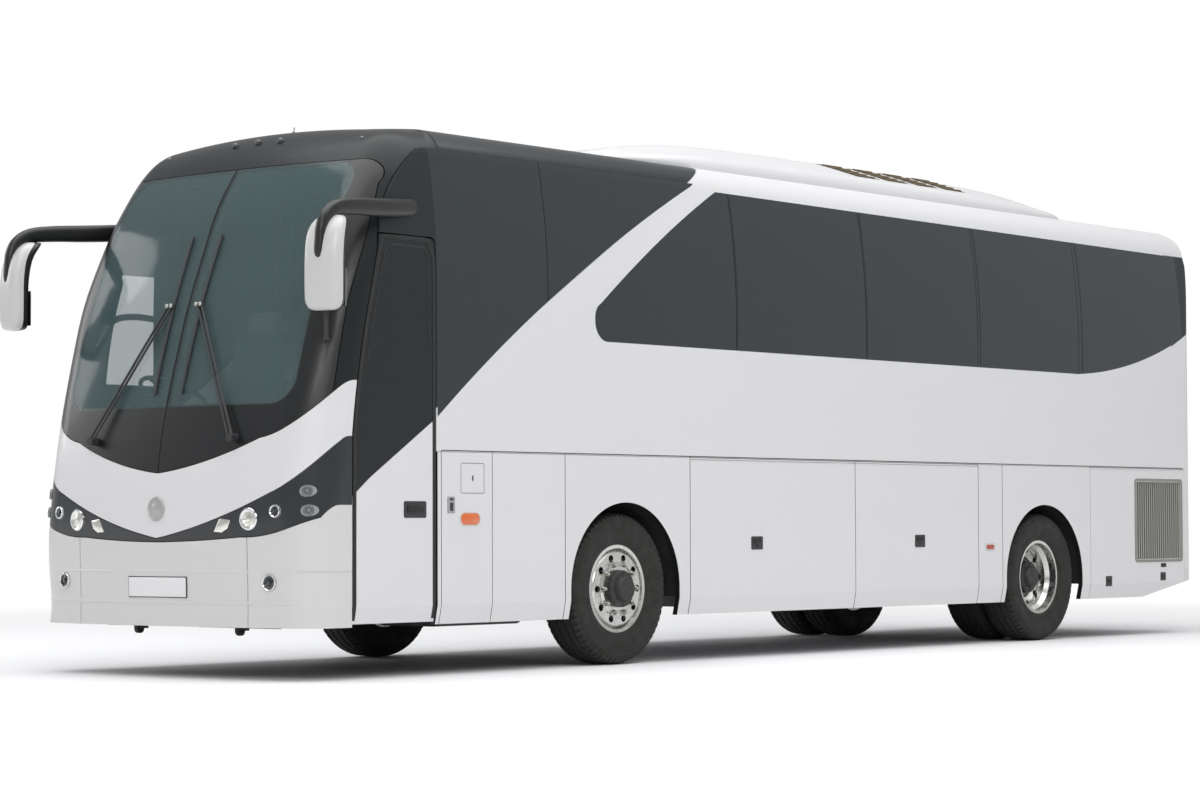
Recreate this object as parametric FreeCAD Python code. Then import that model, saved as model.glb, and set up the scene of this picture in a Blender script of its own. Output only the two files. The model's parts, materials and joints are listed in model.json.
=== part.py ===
"""Two-axle touring coach with right-hand drive, in millimetres.

Frame: +Z up, the front faces -Y, +X is the vehicle's left side (entry door).
The origin lies on the ground, under the middle of the vehicle.
"""
import FreeCAD
import Part
import functools
import math
import os

Vector = FreeCAD.Vector

# ---------------------------------------------------------------- body size
NOSE_Y = -5500.0            # foremost point of the front panel
TAIL_Y = 5500.0             # rearmost point of the rear wall
HALF_WIDTH = 1250.0         # half of the overall body width
ROOF_TOP = 3520.0           # crown of the roof
CROWN_R = 9000.0            # radius of the roof crown
CORNER_R = 230.0            # radius between side wall and roof
TUMBLE_Z = 2400.0           # height where the side starts to lean inwards
TUMBLE_R = 5000.0           # radius of the leaning side
SILL_Z = 320.0              # bottom edge of the skirts
TUCK = 24.0                 # inward tuck of the skirt at the sill
TUCK_Z = 440.0              # height where the tuck starts
SKIRT_TOP = 1405.0          # line between skirts and side wall
DRIP_Z = 3335.0             # line between side wall and roof
WALL = 50.0                 # side wall and roof, frame and skin together
SKIRT_WALL = 40.0           # skirt panels and flaps
SKIN = 12.0                 # moulded front and rear panels
GLASS = 8.0                 # bonded side glass
PANEL_GAP = 6.0             # visible joint between two panels
OUT = HALF_WIDTH + 50.0     # just outside the body side
FAR = HALF_WIDTH + 150.0    # well outside the body side
GROOVE_W = 5.0              # drawn joint line in a panel
GROOVE_DEEP = 6.0

# ---------------------------------------------------------------- front cap
FAN_Y = -4170.0             # rear end of the front dome
FAN_Z = 2450.0              # height of the fan axis of the dome sections
CAP_FOOT = 600.0            # start of the side legs, measured from the fan axis
# height, reach of the nose in front of the fan axis, corner radius
LOW_SECTIONS = (
    (320.0, 1318.0, 240.0),
    (675.0, 1323.0, 230.0),
    (1030.0, 1330.0, 270.0),
    (1385.0, 1304.0, 320.0),
    (1740.0, 1230.0, 300.0),
    (2095.0, 1130.0, 260.0),
)
# angle of the section plane, reach, radius of the front arc, corner radius
FAN_SECTIONS = (
    (0.0, 1014.0, 7000.0, 240.0),
    (15.0, 950.0, 7000.0, 250.0),
    (30.0, 950.0, 7000.0, 290.0),
    (45.0, 980.0, 7200.0, 310.0),
    (60.0, 1043.0, 7800.0, 300.0),
    (75.0, 1075.0, 8500.0, 270.0),
)
FRONT_ARC_R = 7000.0
SCREEN_TOP = 3225.0         # top edge of the windscreen
SCREEN_SIDE = 1212.0        # side edge of the windscreen from the centre plane
FRAME_DEPTH = 40.0          # hoops behind the front skin
FRAME_FIT = 0.6             # adhesive gap between front skin and hoops
BUMPER_SPLIT_X = 761.0      # joints of the three bumper pieces

# ---------------------------------------------------------------- openings
DOOR_FRONT = -5040.0
DOOR_REAR = -4285.0
DOOR_TOP = 2750.0
DOOR_SILL = 338.0
DOOR_WALL = 40.0
DOOR_GAP = 10.0
ARCH_R = 600.0
ARCH_FRONT_SHIFT = 26.0     # front arch centre lies behind the axle
REAR_JOIN_Y = 5250.0        # side walls end, rear wall starts
ROOF_JOIN_Y = 4900.0        # roof panel ends, rear dome starts
PANE_LINES = (-1151.0, 459.0, 1992.0, 3522.0)
FRONT_PANE_LINE = -3200.0
PANE_BORDER = 62.0          # bonded border of a pane on the wall
GROOVE_LINES = (-4243.0, -3759.0)
DEPARTURE_Y = 4566.0        # the tail rises behind this point
DEPARTURE_Z = 485.0         # height of the sill at the very tail

# ---------------------------------------------------------------- wheels
FRONT_AXLE_Y = -2420.0
WHEELBASE = 5380.0
REAR_AXLE_Y = FRONT_AXLE_Y + WHEELBASE
# joints of the lower panels and flaps, set out from the axles
FLAP_LINES = (FRONT_AXLE_Y + 728.0, 301.0, REAR_AXLE_Y - 979.0)
PANEL_LINES = (FRONT_AXLE_Y - 613.0, REAR_AXLE_Y - 629.0, REAR_AXLE_Y + 723.0)
TYRE_R = 510.0
TYRE_W = 292.0
RIM_R = 286.0
WHEEL_OUT = 1219.0          # outer face of the outer tyres
DUAL_GAP = 46.0
KINGPIN_X = 1000.0
RUN = 0.4                   # running clearance of bearings

# ---------------------------------------------------------------- inside
FLOOR_Z = 1350.0            # passenger floor
PLATFORM_Z = 1120.0         # driver's platform
PLATE = 30.0                # floor plates and risers
PLATFORM_END = -3950.0
BAY_FLOOR_Z = 410.0
BAY_FRONT_Y = -1660.0
BAY_REAR_Y = REAR_AXLE_Y - 710.0
SEAT_PITCH = 770.0
SEAT_ROWS = 11
FIRST_ROW_Y = -3700.0
CLEAR = 8.0                 # clearance between lining parts and the shell

HINGE_DROP = 9.0            # flap hinge axis below the skirt line
HINGE_IN = 7.0              # flap hinge axis inside the outer face
BEAD_R = 6.6                # round bead of a flap hinge


# ================================================================ helpers
def side_point(x):
    """Return a placing function for outlines given as (y, z)."""
    return lambda a, b: Vector(x, a, b)


def front_point(y):
    """Return a placing function for outlines given as (x, z)."""
    return lambda a, b: Vector(a, y, b)


def plan_point(z):
    """Return a placing function for outlines given as (x, y)."""
    return lambda a, b: Vector(a, b, z)


def outline(steps, place):
    """Face from a start point, lines (a, b) and arcs (mid a, mid b, a, b)."""
    edges = []
    here = place(*steps[0])
    start = here
    for step in steps[1:]:
        there = place(*step[-2:])
        if len(step) == 4:
            mid = place(step[0], step[1])
            edges.append(Part.Arc(here, mid, there).toShape())
        else:
            edges.append(Part.LineSegment(here, there).toShape())
        here = there
    if here.distanceToPoint(start) > 0.001:
        edges.append(Part.LineSegment(here, start).toShape())
    return Part.Face(Part.Wire(edges))


def side_prism(steps, x0, x1):
    """Extrude a side outline (y, z) from x0 to x1."""
    return outline(steps, side_point(x0)).extrude(Vector(x1 - x0, 0, 0))


def front_prism(steps, y0, y1):
    """Extrude a front outline (x, z) from y0 to y1."""
    return outline(steps, front_point(y0)).extrude(Vector(0, y1 - y0, 0))


def plan_prism(steps, z0, z1):
    """Extrude a plan outline (x, y) from z0 to z1."""
    return outline(steps, plan_point(z0)).extrude(Vector(0, 0, z1 - z0))


def box(x0, x1, y0, y1, z0, z1):
    """Block between two corners."""
    return Part.makeBox(x1 - x0, y1 - y0, z1 - z0, Vector(x0, y0, z0))


def rod(start, end, radius):
    """Round bar from one point to another."""
    way = end - start
    return Part.makeCylinder(radius, way.Length, start, way)


def mirrored(shape):
    """Copy on the other side of the centre plane."""
    return shape.mirror(Vector(0, 0, 0), Vector(1, 0, 0))


def both(shape):
    """The shape and its copy on the other side."""
    return [shape, mirrored(shape)]


def solids_of(shapes):
    """Flatten shapes to the list of their solids."""
    found = []
    for shape in shapes:
        found.extend(shape.Solids)
    return found


def fuse(shapes):
    """Join touching shapes into one and drop the seams inside it."""
    if len(shapes) == 1:
        return shapes[0]
    return shapes[0].fuse(shapes[1:]).removeSplitter()


def write(node, shapes):
    """Write one named piece, which may be several solids."""
    pieces = solids_of(shapes)
    if not pieces:
        raise ValueError("no solid in " + node)
    for piece in pieces:
        if not piece.isValid():
            print("invalid", node)
    Part.makeCompound(pieces).exportStep("parts/" + node + ".step")


# ================================================================ body shell
def roof_corner(d):
    """Centre of the corner arc and its tangent points at depth d."""
    side_r = TUMBLE_R - d
    crown_r = CROWN_R - d
    corner_r = CORNER_R - d
    sx = HALF_WIDTH - TUMBLE_R
    cz = ROOF_TOP - CROWN_R
    ra = side_r - corner_r
    rb = crown_r - corner_r
    dx = -sx
    dz = cz - TUMBLE_Z
    gap = math.hypot(dx, dz)
    along = (ra * ra - rb * rb + gap * gap) / (2 * gap)
    across = math.sqrt(ra * ra - along * along)
    ux = dx / gap
    uz = dz / gap
    px = sx + along * ux - across * uz
    pz = TUMBLE_Z + along * uz + across * ux
    side_way = Vector(px - sx, 0, pz - TUMBLE_Z).normalize()
    crown_way = Vector(px, 0, pz - cz).normalize()
    mid_way = (side_way + crown_way).normalize()
    centre = Vector(px, 0, pz)
    low = centre + side_way * corner_r
    mid = centre + mid_way * corner_r
    high = centre + crown_way * corner_r
    return low, mid, high


def side_x(z):
    """Outer face of the body side at a height below the roof corner."""
    if z <= TUMBLE_Z:
        return HALF_WIDTH
    return HALF_WIDTH - TUMBLE_R + math.sqrt(TUMBLE_R ** 2 - (z - TUMBLE_Z) ** 2)


def body_block(y0, y1, d=0.0, low=SILL_Z):
    """Solid with the cross-section of the body, at depth d inside the skin."""
    c0, c1, c2 = roof_corner(d)
    half = HALF_WIDTH - d
    lean_z = (TUMBLE_Z + c0.z) / 2
    lean_x = HALF_WIDTH - TUMBLE_R + math.sqrt((TUMBLE_R - d) ** 2 - (lean_z - TUMBLE_Z) ** 2)
    steps = [(half - TUCK, low)]
    if low < SILL_Z:
        steps.append((half - TUCK, SILL_Z))
    steps.append((half, TUCK_Z))
    steps.append((half, TUMBLE_Z))
    steps.append((lean_x, lean_z, c0.x, c0.z))
    steps.append((c1.x, c1.z, c2.x, c2.z))
    steps.append((0.0, ROOF_TOP - d, -c2.x, c2.z))
    steps.append((-c1.x, c1.z, -c0.x, c0.z))
    steps.append((-lean_x, lean_z, -half, TUMBLE_Z))
    steps.append((-half, TUCK_Z))
    if low < SILL_Z:
        steps.append((-half + TUCK, SILL_Z))
    steps.append((-half + TUCK, low))
    return front_prism(steps, y0, y1)


def body_ring(y0, y1, d0, d1):
    """Shell of the body between two depths, open at the bottom."""
    return body_block(y0, y1, d0).cut(body_block(y0 - 10, y1 + 10, d1, SILL_Z - 50))


# ================================================================ front cap
def half_section(side_at, reach, front_r, corner_r, d):
    """Key points (u, v) of one half of a cap section at depth d."""
    u0 = side_at(CAP_FOOT)
    slope = (side_at(CAP_FOOT + 300.0) - u0) / 300.0
    stretch = math.hypot(1.0, slope)
    ring = front_r - d
    turn = corner_r - d
    cv = reach - front_r
    k = u0 - (d + turn) * stretch - slope * CAP_FOOT
    a = 1 + slope * slope
    b = 2 * (slope * k - cv)
    c = k * k + cv * cv - (ring - turn) ** 2
    v = (-b + math.sqrt(b * b - 4 * a * c)) / (2 * a)
    u = k + slope * v
    away = math.hypot(u, v - cv)
    n0 = (1 / stretch, -slope / stretch)
    n1 = (u / away, (v - cv) / away)
    nm = (n0[0] + n1[0], n0[1] + n1[1])
    size = math.hypot(nm[0], nm[1])
    foot = (u0 - d * stretch, CAP_FOOT)
    p0 = (u + turn * n0[0], v + turn * n0[1])
    pm = (u + turn * nm[0] / size, v + turn * nm[1] / size)
    p1 = (u + turn * n1[0], v + turn * n1[1])
    return foot, p0, pm, p1, (0.0, reach - d)


def section_edges(points, place):
    """Five edges over the whole width, from the right foot to the left foot."""
    foot, p0, pm, p1, nose = points

    def left(p):
        return place(p[0], p[1])

    def right(p):
        return place(-p[0], p[1])

    return [
        Part.LineSegment(right(foot), right(p0)).toShape(),
        Part.Arc(right(p0), right(pm), right(p1)).toShape(),
        Part.Arc(right(p1), left(nose), left(p1)).toShape(),
        Part.Arc(left(p1), left(pm), left(p0)).toShape(),
        Part.LineSegment(left(p0), left(foot)).toShape(),
    ]


def cap_planes():
    """Placing function, side line and sizes of every cap section."""
    planes = []
    for z, reach, corner in LOW_SECTIONS:
        planes.append((
            lambda u, v, z=z: Vector(u, FAN_Y - v, z),
            lambda v: HALF_WIDTH,
            reach, FRONT_ARC_R, corner))
    for angle, reach, arc, corner in FAN_SECTIONS + ((90.0, ROOF_TOP - FAN_Z, CROWN_R, CORNER_R),):
        c = math.cos(math.radians(angle))
        s = math.sin(math.radians(angle))
        planes.append((
            lambda u, v, c=c, s=s: Vector(u, FAN_Y - v * c, FAN_Z + v * s),
            lambda v, s=s: side_x(FAN_Z + v * s),
            reach, arc, corner))
    return planes


@functools.lru_cache
def cap_block(d):
    """Filled solid inside the front cap at depth d."""
    wires = []
    for place, side_at, reach, arc, corner in cap_planes():
        edges = section_edges(half_section(side_at, reach, arc, corner, d), place)
        first = edges[0].Vertexes[0].Point
        last = edges[-1].Vertexes[-1].Point
        edges.append(Part.LineSegment(last, first).toShape())
        wires.append(Part.Wire(edges))
    return Part.makeLoft(wires, True, False)


def cap_shell(d0, d1):
    """Wall of the front cap between two depths."""
    wires = []
    for place, side_at, reach, arc, corner in cap_planes():
        outer = section_edges(half_section(side_at, reach, arc, corner, d0), place)
        inner = section_edges(half_section(side_at, reach, arc, corner, d1), place)
        o_first = outer[0].Vertexes[0].Point
        o_last = outer[-1].Vertexes[-1].Point
        i_first = inner[0].Vertexes[0].Point
        i_last = inner[-1].Vertexes[-1].Point
        edges = outer + [Part.LineSegment(o_last, i_last).toShape()]
        edges += inner[::-1] + [Part.LineSegment(i_first, o_first).toShape()]
        wires.append(Part.Wire(edges))
    return Part.makeLoft(wires, True, False)


@functools.lru_cache
def seam_prism(shift=0.0):
    """Everything in front of the cap's rear edge, moved rearwards by shift."""
    return side_prism([
        (DOOR_FRONT - 5 + shift, 250),
        (DOOR_FRONT - 5 + shift, 1500),
        (-4972 + shift, 2000, -4817 + shift, 2638),
        (-4668 + shift, 3040, -4362 + shift, 3318),
        (FAN_Y + shift, DRIP_Z),
        (FAN_Y + shift, 3800),
        (-5900, 3800),
        (-5900, 250),
    ], -FAR, FAR)


# Front seams for x >= 0 as (x, z): start, then arcs and lines outwards.
SCREEN_LOW = ((0, 1270), (430, 1346, 825, 1477), (1118, 1622, 1236, 1800), (1300, 1940))
LAMP_HIGH = ((0, 864), (480, 974, 937, 1141), (1150, 1285, 1243, 1455), (1264, 1550), (1400, 1550))
LAMP_LOW = ((0, 842), (384, 852, 709, 872), (1060, 922, 1221, 990), (1262, 1100), (1400, 1180))


def seam_line(seam, lift):
    """Left-to-right list of steps along a front seam, lifted by a height."""
    half = []
    for step in seam:
        half.append(tuple(v + lift if i % 2 else v for i, v in enumerate(step)))
    steps = [(-half[-1][-2], half[-1][-1])]
    for index in range(len(half) - 1, 0, -1):
        step = half[index]
        before = half[index - 1]
        if len(step) == 4:
            steps.append((-step[0], step[1], -before[-2], before[-1]))
        else:
            steps.append((-before[-2], before[-1]))
    steps.extend(half[1:])
    return steps


def above(seam, lift=0.0, top=3800.0):
    """Prism over a front seam."""
    return front_prism(seam_line(seam, lift) + [(1400, top), (-1400, top)], -5700, -4000)


def below(seam, lift=0.0):
    """Prism under a front seam."""
    return front_prism(seam_line(seam, lift) + [(1400, 200), (-1400, 200)], -5700, -4000)


def screen_outline(grow=0.0):
    """Front outline of the whole windscreen, both panes together."""
    side = SCREEN_SIDE + grow
    top = SCREEN_TOP + grow
    high = side - 62
    return front_prism([
        (-side, 1000), (side, 1000), (side, 2300),
        (side - 12, 2700, high, top - 160),
        (high - 30, top - 40, high - 150, top),
        (-high + 150, top),
        (-high + 30, top - 40, -high, top - 160),
        (-side + 12, 2700, -side, 2300),
    ], -5700, -4200)


# Lamps behind the front skin for x >= 0: x, z, radius of the unit.
HEAD_LAMPS = ((780.0, 981.0, 66.0), (981.0, 1028.0, 42.0), (1165.0, 1149.0, 36.0), (1178.0, 1031.0, 36.0))
FOG_LAMP = (930.0, 595.0, 52.0)
ROOF_MARKERS = ((883.0, -4576.0, 3372.0), (207.0, -4630.0, 3418.0), (0.0, -4624.0, 3422.0))
MARKER_R = 15.0
MARKER_LEAN = 64.0          # degrees that a marker looks upwards
LAMP_PROUD = 3.0            # lamp glass in front of the skin


def lamp_bores(spots):
    """Bores along the vehicle for lamps given as (x, z, radius)."""
    bores = []
    for x, z, radius in spots:
        for side in (-1, 1):
            bores.append(rod(Vector(side * x, -5700, z), Vector(side * x, -5100, z), radius))
    return bores


def marker_bores():
    """Bores of the marker lamps, square to the dome."""
    lean = math.radians(MARKER_LEAN)
    way = Vector(0, -math.cos(lean), math.sin(lean))
    bores = []
    for x, y, z in ROOF_MARKERS:
        for side in ((-1, 1) if x else (1,)):
            centre = Vector(side * x, y, z)
            bores.append(rod(centre - way * 60, centre + way * 60, MARKER_R))
    return bores


def lamp_units():
    """Lamp glasses of the head lamps, fog lamps and roof markers."""
    layer = cap_shell(-LAMP_PROUD, SKIN)
    bores = lamp_bores(HEAD_LAMPS + (FOG_LAMP,)) + marker_bores()
    return [layer.common(bore) for bore in bores]


CREASE_Z = 660.0            # fold line of the front bumper


def front_pieces():
    """Skin panels of the front: dome, screens, mask, lamps, bumper."""
    g = PANEL_GAP / 2
    skin = cap_shell(0.0, SKIN).common(seam_prism())
    upper = skin.common(above(SCREEN_LOW, g))
    screen = upper.common(screen_outline())
    panes = [
        screen.common(box(3, FAR, -5700, -4000, 200, 3800)),
        screen.common(box(-FAR, -3, -5700, -4000, 200, 3800)),
    ]
    dome = upper.cut(screen_outline(4.0))
    for bore in marker_bores():
        dome = dome.cut(bore)
    mask = skin.common(below(SCREEN_LOW, -g)).common(above(LAMP_HIGH, g))
    lamps = skin.common(below(LAMP_HIGH, -g)).common(above(LAMP_LOW, g))
    for bore in lamp_bores(HEAD_LAMPS):
        lamps = lamps.cut(bore)
    bumper = skin.common(below(LAMP_LOW, -g))
    for bore in lamp_bores((FOG_LAMP,)):
        bumper = bumper.cut(bore)
    crease = cap_shell(-1.0, 3.0).common(box(-FAR, FAR, -5700, -4900, CREASE_Z - 2.5, CREASE_Z + 2.5))
    bumper = bumper.cut(crease)
    b = BUMPER_SPLIT_X
    bumpers = [
        bumper.common(box(-b + g, b - g, -5700, -4000, 200, 1300)),
        bumper.common(box(b + g, FAR, -5700, -4000, 200, 1300)),
        bumper.common(box(-FAR, -b - g, -5700, -4000, 200, 1300)),
    ]
    return dome, panes, mask, lamps, bumpers


def front_frame_pieces():
    """Hoops and rails behind the seams of the front skin."""
    layer = cap_shell(SKIN + FRAME_FIT, SKIN + FRAME_DEPTH).common(seam_prism())
    bands = []
    for seam in (SCREEN_LOW, LAMP_HIGH, LAMP_LOW):
        bands.append(above(seam, -30.0).common(below(seam, 30.0)))
    bands.append(box(-FAR, FAR, -5700, -4000, 340, 400))
    for x in (-BUMPER_SPLIT_X, BUMPER_SPLIT_X):
        bands.append(box(x - 30, x + 30, -5700, -4000, 330, 1420))
    header = screen_outline(34.0).cut(screen_outline(-34.0))
    bands.append(header.common(above(SCREEN_LOW, -20.0)))
    bands.append(box(-25, 25, -5700, -4700, 1250, SCREEN_TOP + 20))
    edge = seam_prism().cut(seam_prism(-60.0))
    bands.append(edge)
    parts = [layer.common(band) for band in bands]
    return fuse(solids_of(parts))


# ================================================================ side walls
def main_glass_steps():
    """Outline of the long glass band on the side."""
    end = REAR_JOIN_Y - PANEL_GAP
    return [
        (-2560, 2165),
        (-2678, 2205, -2716, 2318),
        (-2704, 2376, -2655, 2420),
        (-2016, 2871, -1290, 3283),
        (end, 3244),
        (end, 2533),
        (4380, 2278, 3506, 2165),
    ]


def swoosh_steps(y_start, z_start):
    """Outline of the dark front panes above the rising line."""
    return [
        (y_start, z_start),
        (-2925, 2578, -1565, 3300),
        (-1530, DRIP_Z - 12),
        (y_start, DRIP_Z - 12),
    ]


def inset_prism(steps, inset, x0, x1):
    """Prism of an outline moved inwards by a border."""
    face = outline(steps, side_point(x0))
    return Part.Face(face.OuterWire.makeOffset2D(-inset)).extrude(Vector(x1 - x0, 0, 0))


def pane_spans(lines, first, last, gap):
    """Neighbouring spans between the pane lines."""
    marks = (first,) + tuple(lines) + (last,)
    spans = []
    for index in range(len(marks) - 1):
        spans.append((marks[index] + gap / 2, marks[index + 1] - gap / 2))
    return spans


def door_zone(grow):
    """Side prism of the entry door, grown on every side."""
    rear = DOOR_REAR - DOOR_GAP + grow
    top = DOOR_TOP - DOOR_GAP + grow
    zone = side_prism([
        (rear, DOOR_SILL - grow), (rear, top - 40), (rear - 12, top - 12, rear - 40, top),
        (DOOR_FRONT - 60, top), (DOOR_FRONT - 60, DOOR_SILL - grow),
    ], 600, FAR)
    return zone.cut(seam_prism(DOOR_GAP - grow))


DRIVER_GLASS = (
    (-4905, 1660), (-4845, 2190, -4745, 2560), (-4745, 2640, -4680, 2660),
    (-4400, 2660), (-4340, 2650, -4330, 2600), (-4330, 1780), (-4340, 1725, -4400, 1700),
)


def wall_blank(left):
    """Side wall without windows, from the skirt line to the drip line."""
    ring = body_ring(DOOR_FRONT - 200, REAR_JOIN_Y, 0.0, WALL)
    side = box(600, OUT, -5400, REAR_JOIN_Y, SKIRT_TOP, DRIP_Z)
    wall = ring.common(side)
    wall = wall.cut(seam_prism(PANEL_GAP))
    if left:
        wall = wall.cut(door_zone(DOOR_GAP))
    return wall


def side_wall_and_glass(left):
    """Side wall with window openings, and the panes bonded on it."""
    wall = wall_blank(left)
    glass_layer = body_ring(DOOR_FRONT - 200, REAR_JOIN_Y, 0.0, GLASS)
    y_start = DOOR_REAR + DOOR_GAP
    z_start = 1620.0
    bands = [(main_glass_steps(), pane_spans(PANE_LINES, -2800, REAR_JOIN_Y, PANEL_GAP))]
    bands.append((swoosh_steps(y_start, z_start),
                  pane_spans((FRONT_PANE_LINE,), y_start - 10, -1400, PANEL_GAP)))
    if not left:
        bands.append((list(DRIVER_GLASS), [(-5000, -4300)]))
    panes = []
    for steps, spans in bands:
        band = side_prism(steps, 900, OUT)
        wall = wall.cut(glass_layer.common(band))
        border = 40.0 if steps[0][0] < -4500 else PANE_BORDER
        opening = inset_prism(steps, border, 900, OUT)
        sheet = glass_layer.common(band)
        for y0, y1 in spans:
            panes.append(sheet.common(box(600, OUT, y0, y1, 1000, 3400)))
            hole = opening.common(box(600, OUT, y0 + border, y1 - border, 1000, 3400))
            wall = wall.cut(hole)
    return wall, panes


def arch_cutter(axle_y, radius):
    """Wheel arch opening, round and open downwards."""
    z = TYRE_R
    return side_prism([
        (axle_y - radius, 200), (axle_y - radius, z),
        (axle_y, z + radius, axle_y + radius, z), (axle_y + radius, 200),
    ], 500, FAR)


def skirt_blank(y0, y1, top=SKIRT_TOP):
    """Skirt panel between two joints."""
    ring = body_ring(y0, y1, 0.0, SKIRT_WALL)
    return ring.common(box(900, OUT, y0, y1, SILL_Z, top))


def rising_tail():
    """Cutter for the rising underside of the tail."""
    return side_prism([
        (DEPARTURE_Y, 200), (DEPARTURE_Y, SILL_Z), (TAIL_Y + 20, DEPARTURE_Z), (TAIL_Y + 20, 200),
    ], -FAR, FAR)


def skirt_panels(left):
    """Fixed skirt panels of one side."""
    g = PANEL_GAP / 2
    start = DOOR_REAR + DOOR_GAP if left else DOOR_FRONT
    front_arch = arch_cutter(FRONT_AXLE_Y + ARCH_FRONT_SHIFT, ARCH_R - 20)
    rear_arch = arch_cutter(REAR_AXLE_Y + 8, ARCH_R - 20)
    panels = [
        skirt_blank(start, PANEL_LINES[0] - g),
        skirt_blank(PANEL_LINES[0] + g, FLAP_LINES[0] - g).cut(front_arch),
        skirt_blank(FLAP_LINES[2] + g, PANEL_LINES[1] - g),
        skirt_blank(PANEL_LINES[1] + g, PANEL_LINES[2] - g).cut(rear_arch),
    ]
    x = HALF_WIDTH - GROOVE_DEEP
    groove = box(x, OUT, -5200, REAR_JOIN_Y, SKIRT_TOP - GROOVE_W, SKIRT_TOP)
    for y in GROOVE_LINES:
        groove = groove.fuse(box(x - TUCK, OUT, y, y + GROOVE_W, SILL_Z, SKIRT_TOP))
    return [panel.cut(groove) for panel in panels]


# ================================================================ flaps
def hinge_axis():
    """X and Z of the flap hinge axis."""
    return HALF_WIDTH - HINGE_IN, SKIRT_TOP - HINGE_DROP


def hinge_rail(y0, y1):
    """Grooved rail under the side wall that holds the beads of the flaps."""
    x, z = hinge_axis()
    top = box(x - 38, HALF_WIDTH - 2, y0, y1, z, SKIRT_TOP)
    back = box(x - 38, x - BEAD_R, y0, y1, z - 10, z)
    groove = rod(Vector(x, y0 - 1, z), Vector(x, y1 + 1, z), BEAD_R + RUN)
    return fuse([top, back]).cut(groove)


def flap(y0, y1, z0):
    """Top-hinged skirt flap with the bead of its hinge."""
    g = PANEL_GAP / 2
    x, z = hinge_axis()
    panel = skirt_blank(y0 + g, y1 - g, z - 11).cut(box(900, OUT, y0, y1, 200, z0))
    bead = rod(Vector(x, y0 + g, z), Vector(x, y1 - g, z), BEAD_R)
    web = box(x - 2, x + 2, y0 + g, y1 - g, z - 14, z)
    return fuse([panel, bead, web])


GRILLE_Y0 = 4434.0
GRILLE_Y1 = 5190.0
GRILLE_Z0 = 640.0
GRILLE_Z1 = 1288.0
SLAT_PITCH = 36.0


def engine_door():
    """Side door of the engine bay with its grille of upright slats."""
    panel = flap(PANEL_LINES[2], REAR_JOIN_Y, SILL_Z).cut(rising_tail())
    opening = box(1100, OUT, GRILLE_Y0, GRILLE_Y1, GRILLE_Z0, GRILLE_Z1)
    panel = panel.cut(opening)
    slats = []
    count = int((GRILLE_Y1 - GRILLE_Y0) / SLAT_PITCH)
    first = GRILLE_Y0 + (GRILLE_Y1 - GRILLE_Y0 - (count - 1) * SLAT_PITCH) / 2
    for index in range(count):
        y = first + index * SLAT_PITCH
        slats.append(plan_prism([
            (HALF_WIDTH - 4, y - 8), (HALF_WIDTH - 4, y + 4),
            (HALF_WIDTH - 30, y + 16), (HALF_WIDTH - 34, y + 8),
        ], GRILLE_Z0, GRILLE_Z1))
    bar = box(HALF_WIDTH - 38, HALF_WIDTH - 28, GRILLE_Y0, GRILLE_Y1, 955, 975)
    return fuse([panel, bar] + slats)


# ================================================================ rear
def rear_block(d):
    """Filled tail of the body at depth d: side, plan and rear profiles."""
    y = TAIL_Y - d
    z = -d
    block = body_block(4500, y + 50, d, SILL_Z - (50 if d else 0))
    profile = side_prism([
        (4400, 200), (y + 6, 200), (y + 6, 2250),
        (y - 24, 2770, y - 104, 3256 + z),
        (y - 150, 3405 + z, y - 300, 3492 + z),
        (y - 460, 3522 + z, y - 640, 3530 + z),
        (4400, 3530 + z),
    ], -FAR, FAR)
    half = HALF_WIDTH - d
    plan = plan_prism([
        (-half - 60, 4400), (half + 60, 4400), (half + 60, y - 228), (half, y - 228),
        (half - 52, y - 92, half - 180, y - 42),
        (0, y, -half + 180, y - 42),
        (-half + 52, y - 92, -half, y - 228),
        (-half - 60, y - 228),
    ], 150, 3700)
    return block.common(profile).common(plan)


HATCH_HALF = 880.0
HATCH_Z0 = 560.0
HATCH_Z1 = 1400.0
REAR_WINDOW = (870.0, 2160.0, 2960.0)
LAMP_X0 = 985.0
LAMP_X1 = 1165.0
LAMP_Z0 = 960.0
LAMP_Z1 = 1640.0


HATCH_HINGE_X = (-300.0, 300.0)
HATCH_AXIS_Y = TAIL_Y - 12.0
HATCH_AXIS_Z = HATCH_Z1 - 1.0


def hatch_hinges():
    """Lugs with pins on the wall, eyes on the hatch, and notches for the eyes."""
    y = HATCH_AXIS_Y
    z = HATCH_AXIS_Z
    lugs = []
    eyes = []
    notches = []
    for x in HATCH_HINGE_X:
        for x0, x1 in ((x - 44, x - 20 - RUN), (x + 20 + RUN, x + 44)):
            lugs.append(rod(Vector(x0, y, z), Vector(x1, y, z), 8))
            lugs.append(box(x0, x1, y - 8, y + 6, z, z + 12))
        lugs.append(rod(Vector(x - 30, y, z), Vector(x + 30, y, z), 4))
        eye = rod(Vector(x - 20, y, z), Vector(x + 20, y, z), 8)
        web = box(x - 20, x + 20, y - 8, y + 5, z - 24, z)
        bore = rod(Vector(x - 30, y, z), Vector(x + 30, y, z), 4 + RUN)
        eyes.append(fuse([eye, web]).cut(bore))
        notches.append(box(x - 46, x + 46, y - 18, y + 40, z, z + 12))
        lugs.append(box(x - 44, x - 20 - RUN, y - 18, y + 6, z + 9, z + 12))
        lugs.append(box(x + 20 + RUN, x + 44, y - 18, y + 6, z + 9, z + 12))
    return lugs, eyes, notches


LOUVRE_HALF = 560.0
LOUVRE_Z0 = 1130.0
LOUVRE_COUNT = 6
LOUVRE_PITCH = 34.0
BLADE = 8.0


def hatch_opening():
    """Air opening in the engine hatch."""
    top = LOUVRE_Z0 + LOUVRE_COUNT * LOUVRE_PITCH
    return box(-LOUVRE_HALF, LOUVRE_HALF, 5300, 5600, LOUVRE_Z0, top)


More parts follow.
